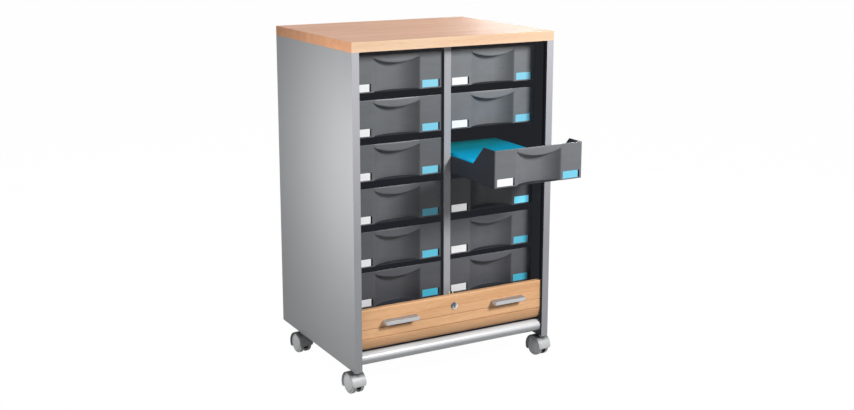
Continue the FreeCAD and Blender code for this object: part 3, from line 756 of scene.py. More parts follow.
@dataclass(frozen=True)
class Metal:
    """Plain metal with fine brushing along one axis, or none where the brushing is 1."""

    name: str
    colour: Colour
    roughness: float
    brushing: tuple[float, float, float] = (1.0, 1.0, 1.0)
    metallic: float = 1.0
    above: float = 1.0
    relief: float = 0.00001

    def build(self) -> bpy.types.Material:
        """Builds the material: brushed streaks in tone, gloss and relief, and a darker copy of the colour on faces
        that look up, as painted shade.

        Returns:
            The material.
        """
        g = Graph(self.name)
        streaks = g.noise(g.stretch(self.brushing), 120.0, 4.0, 0.6)
        smears = g.noise(g.position, 30.0, 3.0, 0.5)
        low = tuple(c * 0.86 for c in self.colour)
        body = g.mix(g.ramp(streaks, 0.3, 0.7), low, self.colour)
        # Painted shade: faces that look up take a darker copy of the colour.
        above = g.ramp(g.normal_axis("Z"), 0.5, 0.9)
        g.link(g.mix(above, body, tuple(c * self.above for c in self.colour)), "Base Color")
        spread = g.math("ADD", g.math("MULTIPLY", streaks, 0.10), g.math("MULTIPLY", smears, 0.08))
        g.link(g.math("ADD", spread, max(0.02, self.roughness - 0.09)), "Roughness")
        g.bump(streaks, self.relief, 0.5)
        g.set(Metallic=self.metallic)
        return g.material


@dataclass(frozen=True)
class BoltFinish:
    """Bright zinc bolt, painted dark between its two tips as the shade in the notch."""

    name: str
    bright: Colour
    notch_shade: Colour
    tips: float = 0.0036

    def build(self) -> bpy.types.Material:
        """Builds the material: the distance from the middle chooses between painted shade and zinc, with fine
        smears.

        Returns:
            The material.
        """
        g = Graph(self.name)
        smears = g.noise(g.position, 260.0, 3.0, 0.6)
        # Painted shade: the middle of the bolt, seen through the notch, is dark.
        edge = g.ramp(g.math("ABSOLUTE", g.axis("X")), self.tips - 0.0004, self.tips + 0.0002)
        g.link(g.tinted(g.mix(edge, self.notch_shade, self.bright), smears, 0.35, 0.65, 0.86), "Base Color")
        g.link(g.ramp(smears, 0.3, 0.7, 0.28, 0.42), "Roughness")
        g.bump(smears, 0.00002, 0.4)
        g.set(Metallic=0.3)
        return g.material


@dataclass(frozen=True)
class LockFace:
    """Turned and polished lock parts, with painted shade in the ring round the core and in the keyway."""

    name: str
    bright: Colour
    dim: Colour
    axis_z: float
    ring: tuple[float, float] = (0.0064, 0.0078)
    keyway: tuple[float, float] = (0.0018, 0.0048)

    def build(self) -> bpy.types.Material:
        """Builds the material: turning marks round the axis, a ring and a keyway in painted shade, and a painted
        slanting sheen, dim at the upper left and bright at the lower right.

        Returns:
            The material.
        """
        g = Graph(self.name)
        x = g.axis("X")
        z = g.math("SUBTRACT", g.axis("Z"), self.axis_z)
        far = g.math("SQRT", g.math("ADD", g.math("MULTIPLY", x, x), g.math("MULTIPLY", z, z)))
        # Painted sheen and shade: the face runs from the dim colour at the upper left to the bright one at the
        # lower right.
        slant = g.ramp(g.math("SUBTRACT", x, z), -0.010, 0.008)
        marks = g.ramp(g.math("SINE", g.math("MULTIPLY", far, 12000.0)), -1.0, 1.0, 0.88, 1.0)
        ring = g.math("MULTIPLY", g.ramp(far, self.ring[0], self.ring[0] + 0.0003),
                      g.ramp(far, self.ring[1] - 0.0003, self.ring[1], 1.0, 0.0))
        slot = g.math("MULTIPLY", g.ramp(g.math("ABSOLUTE", x), self.keyway[0], self.keyway[0] + 0.0002, 1.0, 0.0),
                      g.ramp(g.math("ABSOLUTE", z), self.keyway[1], self.keyway[1] + 0.0003, 1.0, 0.0))
        body = g.mix(slant, self.dim, self.bright)
        # Painted shade: the groove round the core and the keyway are dark.
        body = g.mix(g.math("MAXIMUM", ring, slot), body, (0.004, 0.004, 0.006))
        g.link(g.mix(marks, (0.0, 0.0, 0.0), body), "Base Color")
        g.link(g.ramp(marks, 0.88, 1.0, 0.24, 0.16), "Roughness")
        g.bump(marks, 0.00001, 0.4)
        g.set(Metallic=0.4, Specular_IOR_Level=0.6)
        return g.material


@dataclass(frozen=True)
class GlossCoat:
    """Powder coat on steel with a soft orange-peel surface, painted darker as shade where it faces down."""

    name: str
    colour: Colour
    underside_shade: Colour
    roughness: float = 0.24

    def build(self) -> bpy.types.Material:
        """Builds the material: fine speckle under an orange-peel relief, and painted shade on faces that look down.

        Returns:
            The material.
        """
        g = Graph(self.name)
        speckle = g.noise(g.position, 1800.0, 2.0, 0.5)
        peel = g.noise(g.position, 420.0, 2.0, 0.5)
        # Painted shade: faces that look down take the darker colour.
        body = g.mix(g.ramp(g.normal_axis("Z"), -0.05, 0.3), self.underside_shade, self.colour)
        tint = g.mix(speckle, (0.94, 0.94, 0.94), (1.0, 1.0, 1.0))
        g.link(g.mix(1.0, body, tint, "MULTIPLY"), "Base Color")
        g.link(g.ramp(peel, 0.3, 0.7, self.roughness - 0.04, self.roughness + 0.06), "Roughness")
        g.bump(peel, 0.00003, 0.4)
        g.set(Specular_IOR_Level=0.6)
        return g.material


@dataclass(frozen=True)
class Axle:
    """Middle of a castor's axle and its turn about the upright in degrees."""

    centre: tuple[float, float, float]
    turn: float

    def measure(self, g: Graph) -> tuple[Socket, Socket]:
        """Builds the distance along the axle and the distance from it.

        Args:
            g: The material's graph.

        Returns:
            Both distances in metres.
        """
        c, s = math.cos(math.radians(self.turn)), math.sin(math.radians(self.turn))
        x, y, z = (g.math("SUBTRACT", g.axis(name), place) for name, place in zip("XYZ", self.centre))
        along = g.math("ADD", g.math("MULTIPLY", x, c), g.math("MULTIPLY", y, s))
        level = g.math("SUBTRACT", g.math("MULTIPLY", y, c), g.math("MULTIPLY", x, s))
        far = g.math("SQRT", g.math("ADD", g.math("MULTIPLY", level, level), g.math("MULTIPLY", z, z)))
        return along, far


@dataclass(frozen=True)
class HoodFinish:
    """Castor hood with painted shade that darkens it towards the panel above it, and a web between the wheels
    painted dark as shadow.
    """

    name: str
    axle: Axle
    colour: Colour
    shade: Colour
    top: float
    web: Colour = srgb(14, 14, 16)
    web_half: float = 0.0076
    web_radius: float = 0.0312
    shade_depth: float = 0.015
    shade_end: float = 0.004

    def build(self) -> bpy.types.Material:
        """Builds the material: fine texture, scuffs, a painted shade zone under the panel and the web painted dark
        as shadow.

        Returns:
            The material.
        """
        g = Graph(self.name)
        along, far = self.axle.measure(g)
        grit = g.noise(g.position, 1600.0, 3.0, 0.6)
        scuffs = g.noise(g.position, 60.0, 4.0, 0.7)
        # Painted shade: the hood darkens towards the panel above it.
        near = g.ramp(g.axis("Z"), self.top - self.shade_depth, self.top - self.shade_end)
        # Painted shade: the web between the wheels is dark as the shadow there.
        web = g.math("MULTIPLY", g.math("LESS_THAN", far, self.web_radius),
                     g.math("LESS_THAN", g.math("ABSOLUTE", along), self.web_half))
        body = g.mix(web, g.mix(near, self.colour, self.shade), self.web)
        g.link(g.tinted(body, scuffs, 0.4, 0.7, 0.92), "Base Color")
        g.link(g.ramp(scuffs, 0.35, 0.7, 0.38, 0.50), "Roughness")
        g.bump(grit, 0.00003, 0.5)
        g.link(g.ramp(web, 0.0, 1.0, 0.5, 0.0), "Specular IOR Level")
        return g.material


@dataclass(frozen=True)
class WheelFinish:
    """Castor wheel with a pale disc, a dark line near its rim and a greyer tread."""

    name: str
    axle: Axle
    disc: Colour
    rim: Colour
    tread: Colour
    line: Colour = srgb(60, 61, 63)
    slot: Colour = srgb(26, 27, 29)
    line_at: float = 0.0245
    tread_at: float = 0.0285
    gap_shade_half: float = 0.0074

    def build(self) -> bpy.types.Material:
        """Builds the material: the distance from the axle chooses between disc, line, rim and tread, and the faces
        near the middle between the two wheels are painted dark as shade.

        Returns:
            The material.
        """
        g = Graph(self.name)
        along, far = self.axle.measure(g)
        grit = g.noise(g.position, 1500.0, 3.0, 0.6)
        rubbed = g.noise(g.position, 70.0, 4.0, 0.7)
        line = g.math("MULTIPLY", g.ramp(far, self.line_at, self.line_at + 0.0004),
                      g.ramp(far, self.line_at + 0.0008, self.line_at + 0.0012, 1.0, 0.0))
        body = g.mix(g.ramp(far, self.line_at, self.line_at + 0.001), self.disc, self.rim)
        body = g.mix(line, body, self.line)
        body = g.mix(g.ramp(far, self.tread_at, self.tread_at + 0.0006), body, self.tread)
        # Painted shade: the faces between the two wheels are dark.
        body = g.mix(g.math("LESS_THAN", g.math("ABSOLUTE", along), self.gap_shade_half), body, self.slot)
        g.link(g.tinted(body, rubbed, 0.4, 0.7, 0.90), "Base Color")
        g.link(g.ramp(rubbed, 0.35, 0.7, 0.42, 0.32), "Roughness")
        g.bump(grit, 0.00004, 0.6)
        g.set(Specular_IOR_Level=0.4)
        return g.material


@dataclass(frozen=True)
class Card:
    """Smooth card with a faint fibre and a slow change of tone."""

    name: str
    colour: Colour
    roughness: float = 0.55
    mottle: float = 0.05

    def build(self) -> bpy.types.Material:
        """Builds the material: fibres, slow clouds and a fine relief.

        Returns:
            The material.
        """
        g = Graph(self.name)
        fibre = g.noise(g.stretch((3.0, 1.0, 3.0)), 700.0, 4.0, 0.7)
        clouds = g.noise(g.position, 14.0, 3.0, 0.6)
        low = tuple(c * (1 - 2 * self.mottle) for c in self.colour)
        high = tuple(min(1.0, c * (1 + self.mottle)) for c in self.colour)
        both = g.math("ADD", g.math("MULTIPLY", fibre, 0.5), g.math("MULTIPLY", clouds, 0.5))
        g.link(g.mix(g.ramp(both, 0.35, 0.65), low, high), "Base Color")
        g.link(g.ramp(fibre, 0.3, 0.7, self.roughness - 0.06, self.roughness + 0.06), "Roughness")
        g.bump(fibre, 0.00004, 0.4)
        g.set(Specular_IOR_Level=0.35)
        return g.material


@dataclass(frozen=True)
class FolderCover:
    """Glossy pressed card, cyan at the front edge and painted darker towards deep green-blue at the rear as shade,
    with a glow that is painted light.
    """

    name: str
    near: Colour
    far: Colour
    front: float
    rear: float
    glow: float = 0.3

    def build(self) -> bpy.types.Material:
        """Builds the material: a slow blend along Y that paints the shade towards the rear, pressed grain, faint
        rub marks and an emission of its own colour as painted light.

        Returns:
            The material.
        """
        g = Graph(self.name)
        # Painted shade: the cover darkens from its front edge towards the rear of the tray.
        along = g.ramp(g.axis("Y"), self.front, self.rear)
        cloud = g.noise(g.position, 9.0, 3.0, 0.6)
        share = g.math("ADD", along, g.ramp(cloud, 0.3, 0.7, -0.12, 0.12))
        body = g.mix(share, self.near, self.far)
        grain = g.noise(g.position, 1500.0, 3.0, 0.6)
        g.link(g.tinted(body, grain, 0.35, 0.65, 0.90), "Base Color")
        g.link(g.ramp(cloud, 0.3, 0.7, 0.26, 0.40), "Roughness")
        g.bump(grain, 0.00003, 0.5)
        # Painted light: the cover glows in its own colour.
        g.link(body, "Emission Color")
        g.set(Specular_IOR_Level=0.2, Emission_Strength=self.glow)
        return g.material


@dataclass(frozen=True)
class LabelPair:
    """White card on the left of a tray's centre and blue card on its right."""

    name: str
    centre: float
    white: Colour
    blue: Colour
    glow: float = 0.0

    def build(self) -> bpy.types.Material:
        """Builds the material: the side of the tray's centre chooses the card's colour.

        Returns:
            The material.
        """
        g = Graph(self.name)
        right = g.math("GREATER_THAN", g.axis("X"), self.centre)
        fibre = g.noise(g.stretch((1.0, 3.0, 3.0)), 900.0, 4.0, 0.7)
        cards = g.mix(right, self.white, self.blue)
        g.link(g.tinted(cards, fibre, 0.35, 0.65, 0.93), "Base Color")
        # Painted light: the cards can glow in their own colour, for cards that lie in shade.
        g.link(cards, "Emission Color")
        g.set(Emission_Strength=self.glow)
        g.link(g.ramp(fibre, 0.3, 0.7, 0.42, 0.52), "Roughness")
        g.bump(fibre, 0.00003, 0.3)
        return g.material


@dataclass(frozen=True)
class Cloth:
    """Woven backing cloth."""

    name: str
    colour: Colour

    def build(self) -> bpy.types.Material:
        """Builds the material: two crossed sets of threads in tone and relief.

        Returns:
            The material.
        """
        g = Graph(self.name)
        warp = g.math("SINE", g.math("MULTIPLY", g.axis("X"), 9000.0))
        weft = g.math("SINE", g.math("MULTIPLY", g.math("ADD", g.axis("Y"), g.axis("Z")), 9000.0))
        weave = g.ramp(g.math("MULTIPLY", warp, weft), -1.0, 1.0)
        low = tuple(c * 0.7 for c in self.colour)
        g.link(g.mix(weave, low, self.colour), "Base Color")
        g.link(g.ramp(weave, 0.0, 1.0, 0.78, 0.92), "Roughness")
        g.bump(weave, 0.0001, 0.6)
        return g.material


# ---------------------------------------------------------------------------------------------------------------
# Sub-assemblies
# ---------------------------------------------------------------------------------------------------------------


def dress(nodes: Sequence[str], material: bpy.types.Material) -> None:
    """Gives CAD nodes a finish.

    Args:
        nodes: Names of the nodes.
        material: The finish.
    """
    for name in nodes:
        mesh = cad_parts[name].data
        mesh.materials.clear()
        mesh.materials.append(material)
        log.info("dressed %s in %s", name, material.name)


@dataclass
class Carcass:
    """Cabinet boards, edging, tube, tracks and runners."""

    light_beech: Colour = srgb(216, 160, 122)
    dark_beech: Colour = srgb(196, 140, 104)
    # Tone of the board's front edge: partly its edge band and partly a painted highlight.
    edge_beech: Colour = srgb(238, 208, 176)
    silver: Colour = srgb(150, 151, 153)
    # Front edge colour at the top and at the bottom; the darkening downwards is painted shade.
    edge_high: Colour = srgb(184, 183, 190)
    edge_low: Colour = srgb(152, 153, 157)
    inside: Colour = srgb(8, 8, 10)
    # Emission on the dark inner boards and mouldings: painted light that stands for light bouncing into the
    # cabinet.
    glow: Colour = srgb(35, 36, 40)
    track_glow: Colour = srgb(20, 21, 24)
    mould: Colour = srgb(22, 23, 26)
    track: Colour = srgb(8, 8, 10)
    # Colour of the tube's upper faces, and below it the same coat in painted shade.
    tube: Colour = srgb(224, 225, 227)
    tube_underside_shade: Colour = srgb(160, 162, 164)
    zinc: Colour = srgb(190, 191, 192)
    edging_share: float = 0.35

    def build(self) -> None:
        """Dresses the boards and the fittings that stay with them."""
        board = Beech(
            "beech_top", self.light_beech, self.dark_beech, roughness=0.5, specular=0.12, front=self.edge_beech
        )
        dress(["top_panel"], board.build())
        for side, name in ((-1, "left_side_panel"), (1, "right_side_panel")):
            edges = (self.edge_high, self.edge_low)
            finish = SidePanelFinish("silver_" + name, side, self.silver, *edges, self.inside, self.glow)
            dress([name], finish.build())
        dress(["back_panel"], Laminate("silver_back", self.silver).build())
        dark = Laminate("dark_board", self.inside, 0.08, 0.6, 0.12, self.glow)
        dress(["inner_back", "bay_floor", "bottom_board", "divider"], dark.build())
        edging = between(self.edge_low, self.edge_high, self.edging_share)
        dress(["divider_edging"], Laminate("divider_edge_band", edging, 0.03).build())
        paint(self._tube(), GlossCoat("silver_tube", self.tube, self.tube_underside_shade).build())
        dark_mould = Moulded("dark_moulding", self.mould, 0.5, specular=0.06, glow=self.glow)
        dress(["tray_runners", "top_stops"], dark_mould.build())
        track = Moulded("track_moulding", self.track, 0.6, specular=0.02, glow=self.track_glow)
        dress(["curtain_tracks"], track.build())
        dress(["runner_screws"], Metal("zinc_screws", self.zinc, 0.35).build())
        dowel = Beech("dowel_beech", srgb(205, 170, 130), srgb(180, 140, 100), Grain.ALONG_Z)
        dress(["panel_dowels"], dowel.build())
        soften(["top_panel"], 1.4)
        soften(["left_side_panel", "right_side_panel"], 1.2)
        soften(["back_panel", "divider", "bay_floor", "bottom_board", "inner_back"], 0.5)
        soften(["divider_edging"], 0.8)
        soften(["curtain_tracks", "tray_runners", "top_stops", "runner_screws", "panel_dowels"])

    def _tube(self) -> Piece:
        """Round tube between the side panels: a circle carried along X and closed inside both panels.

        Returns:
            The piece.
        """
        low, high = node_box("cross_tube")
        middle, radius = (low + high) / 2 / MM, float(high[2] - low[2]) / 2 / MM
        turn = np.linspace(0.0, 2 * np.pi, 96, endpoint=False)
        outlines = np.zeros((2, len(turn), 3))
        outlines[:, :, 0] = np.array([low[0], high[0]])[:, None] / MM
        outlines[:, :, 1] = middle[1] + radius * np.cos(turn)
        outlines[:, :, 2] = middle[2] + radius * np.sin(turn)
        return make_piece("cross_tube_round", loft(outlines), "cabinet", ["cross_tube"])


@dataclass
class TrayForm:
    """Shape of one tray, in its own frame: front face at Y = 0, underside at Z = 0, centred on X."""

    width: float = 289.0
    height: float = 104.5
    depth: float = 400.0
    plate: float = 3.0
    wall: float = 2.5
    low_wall: float = 49.0
    shoulder: float = 60.0
    shoulder_run: float = 55.0
    lug_length: float = 14.0
    lug_top: float = 108.0
    scoop_half: float = 73.0
    scoop_depth: float = 23.0
    lip_end: float = 94.5
    lip_middle: float = 80.5
    lip_lean: float = 5.0 / 48.0
    pocket: tuple[float, float] = (3.5, 24.8)
    pocket_outer: float = 136.5
    pocket_inner: float = 80.7
    slot_width: float = 4.5
    pocket_depth: float = 1.0
    soft_edge: float = 1.6
    sharp_half: float = 0.15
    plain_top: float = 32.0
    open_run: float = 3.0
    lean_run: float = 6.0
    end_round: float = 2.0
    lip_rows: int = 5

    def columns(self) -> Array:
        """Places across the front, close together at edges and 4 mm apart in the scoop.

        Returns:
            Places from left to right.
        """
        edge = self.width / 2 - np.array([0.0, 0.25, 0.7, 1.3, 2.0])
        steps = np.array([-self.sharp_half, self.sharp_half])
        scoop = np.concatenate([np.arange(0.0, 65.0, 4.0), [65, 68, 70, 71.5, 72.4, 73.2, 74.2, 75.6, 77.5]])
        (left_slot, _), (right_slot, _) = self.finger_slots()
        sides = []
        for slot in (-left_slot, right_slot):
            turns = [place + steps for place in (self.pocket_inner, slot, self.pocket_outer)]
            sides.append(np.concatenate([scoop, *turns, edge]))
        return np.unique(np.round(np.concatenate([-sides[0], sides[1]]), 4))

    def finger_slots(self) -> tuple[tuple[float, float], tuple[float, float]]:
        """Finger slots at the inner end of the left pocket and the outer end of the right one.

        Returns:
            The left and right end of the left slot, then those of the right slot.
        """
        left = (-self.pocket_inner - self.slot_width, -self.pocket_inner)
        return left, (self.pocket_outer - self.slot_width, self.pocket_outer)

    def recess(self, x: Array) -> Array:
        """Depth of the scoop at each place, a circle's arc whose ends run softly into the plate.

        The arc is s = sqrt(R^2 - x^2) - (R - depth), and (s + sqrt(s^2 + e^2)) / 2 rounds its ends.

        Args:
            x: Places across the front.

        Returns:
            The depths.
        """
        radius = (self.scoop_half**2 + self.scoop_depth**2) / (2 * self.scoop_depth)
        arc = np.sqrt(radius**2 - np.clip(np.abs(x), 0, 110.0) ** 2) - (radius - self.scoop_depth)
        soft = (arc + np.sqrt(arc**2 + self.soft_edge**2)) / 2
        return np.where(soft < 0.06, 0.0, soft)

    def lip_edge(self, x: Array) -> Array:
        """Height of the lip's lower edge, an arc that sags in the middle.

        Args:
            x: Places across the front.

        Returns:
            The heights.
        """
        sag = self.lip_end - self.lip_middle
        radius = (self.scoop_half**2 + sag**2) / (2 * sag)
        inside = np.clip(np.abs(x), 0.0, self.scoop_half)
        return self.lip_end - (np.sqrt(radius**2 - inside**2) - (radius - sag))

    def front(self) -> Shell:
        """Front plate with its scoop, lip and label pockets.

        Every outline is the plate's section at one place: up the front face, along the underside of the lip, up the
        lip's face, over the top edge and down the rear face. The rear face repeats the front one a wall behind it.
        k rises from 0 on the plain plate to 1 in the scoop, and blends between the two sections of the lip.

        Returns:
            The plate, with holes where the finger slots go through.
        """
        x = self.columns()
        s, lip = self.recess(x), self.lip_edge(x)
        k = blend_step(s / self.open_run)
        inside = blend_step((self.scoop_half + 0.5 - np.abs(x)) / self.lean_run)
        turns = [place + step for place in self.pocket for step in (-self.sharp_half, self.sharp_half)]
        low_rows = np.array([0.0, 0.25, 0.9, *turns, self.plain_top])
        share = np.linspace(0.0, 1.0, 6)[1:]
        z_low = np.repeat(low_rows[:, None], len(x), axis=1)
        z_mid = self.plain_top + share[:, None] * (lip - 1.0 - self.plain_top)[None, :]
        z_a = np.concatenate([z_low, z_mid])
        y_a = np.repeat(s[None, :], len(z_a), axis=0)
        y_a[0] += 0.8
        y_a[1] += 0.25
        in_pocket = (np.abs(x) < self.pocket_outer) & (np.abs(x) > self.pocket_inner)
        y_a[4:6, in_pocket] += self.pocket_depth
        lean = self.lip_lean * (self.height - lip) * inside
        open_z, flat_z = np.array([-0.3, 0.0, 0.0, 0.2, 0.9]), np.array([-0.6, -0.3, 0.1, 0.4, 0.9])
        z_b = lip[None, :] + k[None, :] * open_z[:, None] + (1 - k)[None, :] * flat_z[:, None]
        y_b = np.stack([s - 0.2 * k, s - 0.9 * k, -lean + 0.8 * k, -lean + 0.2 * k, -lean])
        z_c = lip + 0.9 + np.linspace(0, 1, 5)[1:, None] * (self.height - 1.0 - lip - 0.9)[None, :]
        y_c = -self.lip_lean * (self.height - z_c) * inside[None, :]
        z_top = np.repeat(np.array([self.height - 0.25, self.height])[:, None], len(x), axis=1)
        y_top = np.repeat(np.array([0.25, 1.0])[:, None], len(x), axis=1)
        front_y, front_z = np.concatenate([y_a, y_b, y_c, y_top]), np.concatenate([z_a, z_b, z_c, z_top])
        thick = self.plate - 0.5 * k
        back_y, back_z = np.repeat((s + thick)[None, :], len(front_z), axis=0), front_z.copy()
        a, b = len(z_a), len(z_a) + self.lip_rows
        open_back, flat_back = np.array([1.2, 2.5, 2.5, 2.5, 3.2]), np.array([0.3, 0.9, 1.6, 2.3, 3.2])
        back_z[a:b] = lip[None, :] + k[None, :] * open_back[:, None] + (1 - k)[None, :] * flat_back[:, None]
        near = np.array([1.0, 1.0, 0.5, 0.0, 0.0])
        back_y[a:b] = self.plate + near[:, None] * (s + thick - self.plate)[None, :]
        back_z[b:-2] = lip + 3.2 + np.linspace(0, 1, 5)[1:, None] * (self.height - 1.0 - lip - 3.2)[None, :]
        back_y[b:] = self.plate
        back_y[-1] = self.plate - 0.6
        edge = np.clip(self.end_round - (self.width / 2 - np.abs(x)), 0.0, self.end_round)
        front_y += (self.end_round - np.sqrt(self.end_round**2 - edge**2))[None, :]
        outlines = np.zeros((len(x), 2 * len(front_y), 3))
        outlines[:, :, 0] = x[:, None]
        outlines[:, :, 1] = np.concatenate([front_y, back_y[::-1]]).T
        outlines[:, :, 2] = np.concatenate([front_z, back_z[::-1]]).T
        return self._pierce(loft(outlines), x, len(front_y))

    def _pierce(self, shell: Shell, x: Array, rows: int) -> Shell:
        """Opens the finger slots through the plate and lines them with four walls each.

        Args:
            shell: The plate.
            x: Places of its outlines.
            rows: Points on its front face at each place.

        Returns:
            The plate with two slots.
        """
        size, low, high = 2 * rows, 4, 5
        keep = np.ones(len(shell.quads), bool)
        finish = np.where(np.isin(np.arange(len(shell.quads)) % size, [rows - 2, rows - 1, rows]), 2, 0)
        finish[(len(x) - 1) * size:] = 0
        walls = []
        flip = shell.quads[0, 0] > shell.quads[0, 1]
        for left, right in self.finger_slots():
            start, end = left + self.sharp_half, right - self.sharp_half
            j0, j1 = int(np.argmin(np.abs(x - start))), int(np.argmin(np.abs(x - end)))
            j = np.arange(j0, j1)
            for i in range(low, high):
                keep[j * size + i] = False
                keep[j * size + size - 2 - i] = False
            f, r = (lambda c, i: c * size + i), (lambda c, i: c * size + size - 1 - i)
            walls.append(np.stack([f(j, low), f(j + 1, low), r(j + 1, low), r(j, low)], axis=1))
            walls.append(np.stack([f(j + 1, high), f(j, high), r(j, high), r(j + 1, high)], axis=1))
            i = np.arange(low, high)
            walls.append(np.stack([f(j0, i + 1), f(j0, i), r(j0, i), r(j0, i + 1)], axis=1))
            walls.append(np.stack([f(j1, i), f(j1, i + 1), r(j1, i + 1), r(j1, i)], axis=1))
        added = np.concatenate(walls)
        if flip:
            added = added[:, ::-1]
        quads = np.concatenate([shell.quads[keep], added])
        return Shell(shell.points, quads, np.concatenate([finish[keep], np.zeros(len(added), int)]))

    def side(self, sign: int) -> Shell:
        """Side wall with a high shoulder in front, a slope, a low wall and a lug at the rear.

        Every outline is the wall's upright section at one place along Y, with a rounded top edge.

        Args:
            sign: -1 for the left wall, 1 for the right one.

        Returns:
            The wall.
        """
        run = self.shoulder + self.shoulder_run
        lug = self.depth - self.lug_length
        y = np.array([2.0, self.shoulder - 1.5, self.shoulder, run, run + 1.5, lug - 0.3, lug + 0.3, self.depth])
        low, high = self.low_wall, self.height
        top = np.array([high, high, high - 1.0, low + 1.0, low, low, self.lug_top, self.lug_top])
        outer, inner = sign * self.width / 2, sign * (self.width / 2 - self.wall)
        section = 40.0
        flat = rounded_outline((min(outer, inner), 0.0), (max(outer, inner), section), 0.8)
        outlines = np.zeros((len(y), len(flat), 3))
        outlines[:, :, 0] = flat[:, 0]
        outlines[:, :, 1] = y[:, None]
        height = flat[None, :, 1]
        outlines[:, :, 2] = np.where(height > section / 2, height - section + top[:, None], height)
        return loft(outlines, 1)

    def shell(self) -> Shell:
        """Whole tray: front in finish 0 with its top edge in finish 2, and walls and floor in finish 1.

        Returns:
            The tray.
        """
        half = self.width / 2
        rear = bar((-half, self.depth - self.wall, 0.0), (half, self.depth, self.low_wall), 0.8, 1)
        base = bar((-half, 2.0, 0.0), (half, self.depth, self.wall), 0.8, 1)
        return join([self.front(), self.side(-1), self.side(1), rear, base])


@dataclass
class CurtainPath:
    """Line that the slats' middle follows: down the front, round a bend, back, round a bend and up."""

    face: float = -160.75
    half: float = 4.0
    top: float = 245.0
    bend: float = 26.0
    low: float = 120.5
    rear: float = 325.25

    def points(self, run: Array, offset: Array) -> Array:
        """Points at runs along the path, counted from the curtain's top edge, set off outwards.

        Straight stretches add the run to one axis. In a bend the angle is the run past its start over the radius,
        and the point lies at radius + offset from the bend's centre.

        Args:
            run: Runs in millimetres.
            offset: Distances outwards from the line.

        Returns:
            Y and Z of each point.
        """
        front, high = self.face + self.half, self.low + self.bend
        quarter = math.pi / 2 * self.bend
        down = self.top - high
        level = down + quarter
        climb = level + self.rear - front - 2 * self.bend
        last = climb + quarter
        reach = self.bend + offset
        first_turn, second_turn = (run - down) / self.bend, (run - climb) / self.bend
        stretches = [run <= down, run <= level, run <= climb, run <= last]
        y = np.select(
            stretches,
            [
                front - offset,
                front + self.bend - reach * np.cos(first_turn),
                front + self.bend + run - level,
                self.rear - self.bend + reach * np.sin(second_turn),
            ],
            self.rear + offset,
        )
        z = np.select(
            stretches,
            [
                self.top - run,
                high - reach * np.sin(first_turn),
                self.low - offset,
                high - reach * np.cos(second_turn),
            ],
            high + run - last,
        )
        return np.stack([y, z], axis=-1)


@dataclass
class Slat:
    """One slat between two runs of the path, with rounded outer corners and any fine lines along it."""

    start: float
    end: float
    top_round: float = 1.0
    bottom_round: float = 1.0
    lines: tuple[float, ...] = ()
    line_half: float = 1.0
    line_depth: float = 1.6

    def shell(self, path: CurtainPath, half_length: float) -> Shell:
        """Carries the slat's section from one end to the other.

        A slat is stiff, so its section stands on the chord between its two ends on the path. It goes along the
        outer face, with a quarter circle at both corners and a V where a line is, and comes back along the inner
        face, which is as long as the chord of the path's inner side.

        Args:
            path: The path that the slats follow.
            half_length: Half of the slat's length.

        Returns:
            The slat.
        """
        turn = np.radians([0.0, 22.5, 45.0, 67.5, 90.0])
        first = self.start + self.top_round * (1 - np.cos(turn))
        last = self.end - self.bottom_round * (1 - np.cos(turn[::-1]))
        middle = np.linspace(self.start + self.top_round, self.end - self.bottom_round, 10)[1:-1]
        grooves = np.array([s + d * self.line_half for s in self.lines for d in (-1.0, -0.3, 0.0, 0.3, 1.0)])
        if len(grooves):
            clear = np.min(np.abs(middle[:, None] - np.array(self.lines)[None, :]), axis=1) > self.line_half + 0.3
            middle = np.sort(np.concatenate([middle[clear], grooves]))
        run = np.concatenate([first, middle, last])
        offset = np.full(len(run), path.half)
        offset[:5] -= self.top_round * (1 - np.sin(turn))
        offset[-5:] -= self.bottom_round * (1 - np.sin(turn[::-1]))
        for s in self.lines:
            offset -= self.line_depth * np.clip(1 - np.abs(run - s) / self.line_half, 0, 1) ** 0.6
        ends = path.points(np.array([self.start, self.end]), np.zeros(2))
        near = path.points(np.array([self.start, self.end]), np.full(2, -path.half))
        length, inner_length = (float(np.linalg.norm(pair[1] - pair[0])) for pair in (ends, near))
        along = (ends[1] - ends[0]) / length
        out = np.array([along[1], -along[0]])
        share = (run - self.start) / (self.end - self.start)
        outer = ends[0] + (share * length)[:, None] * along + offset[:, None] * out
        inset = max(0.0, (length - inner_length) / 2)
        back = inset + share * (length - 2 * inset)
        inner = ends[0] + back[:, None] * along - path.half * out
        flat = np.concatenate([outer, inner[::-1]])
        outlines = np.zeros((2, len(flat), 3))
        outlines[:, :, 0] = np.array([-half_length, half_length])[:, None]
        outlines[:, :, 1:] = flat[None, :, :]
        return loft(outlines)


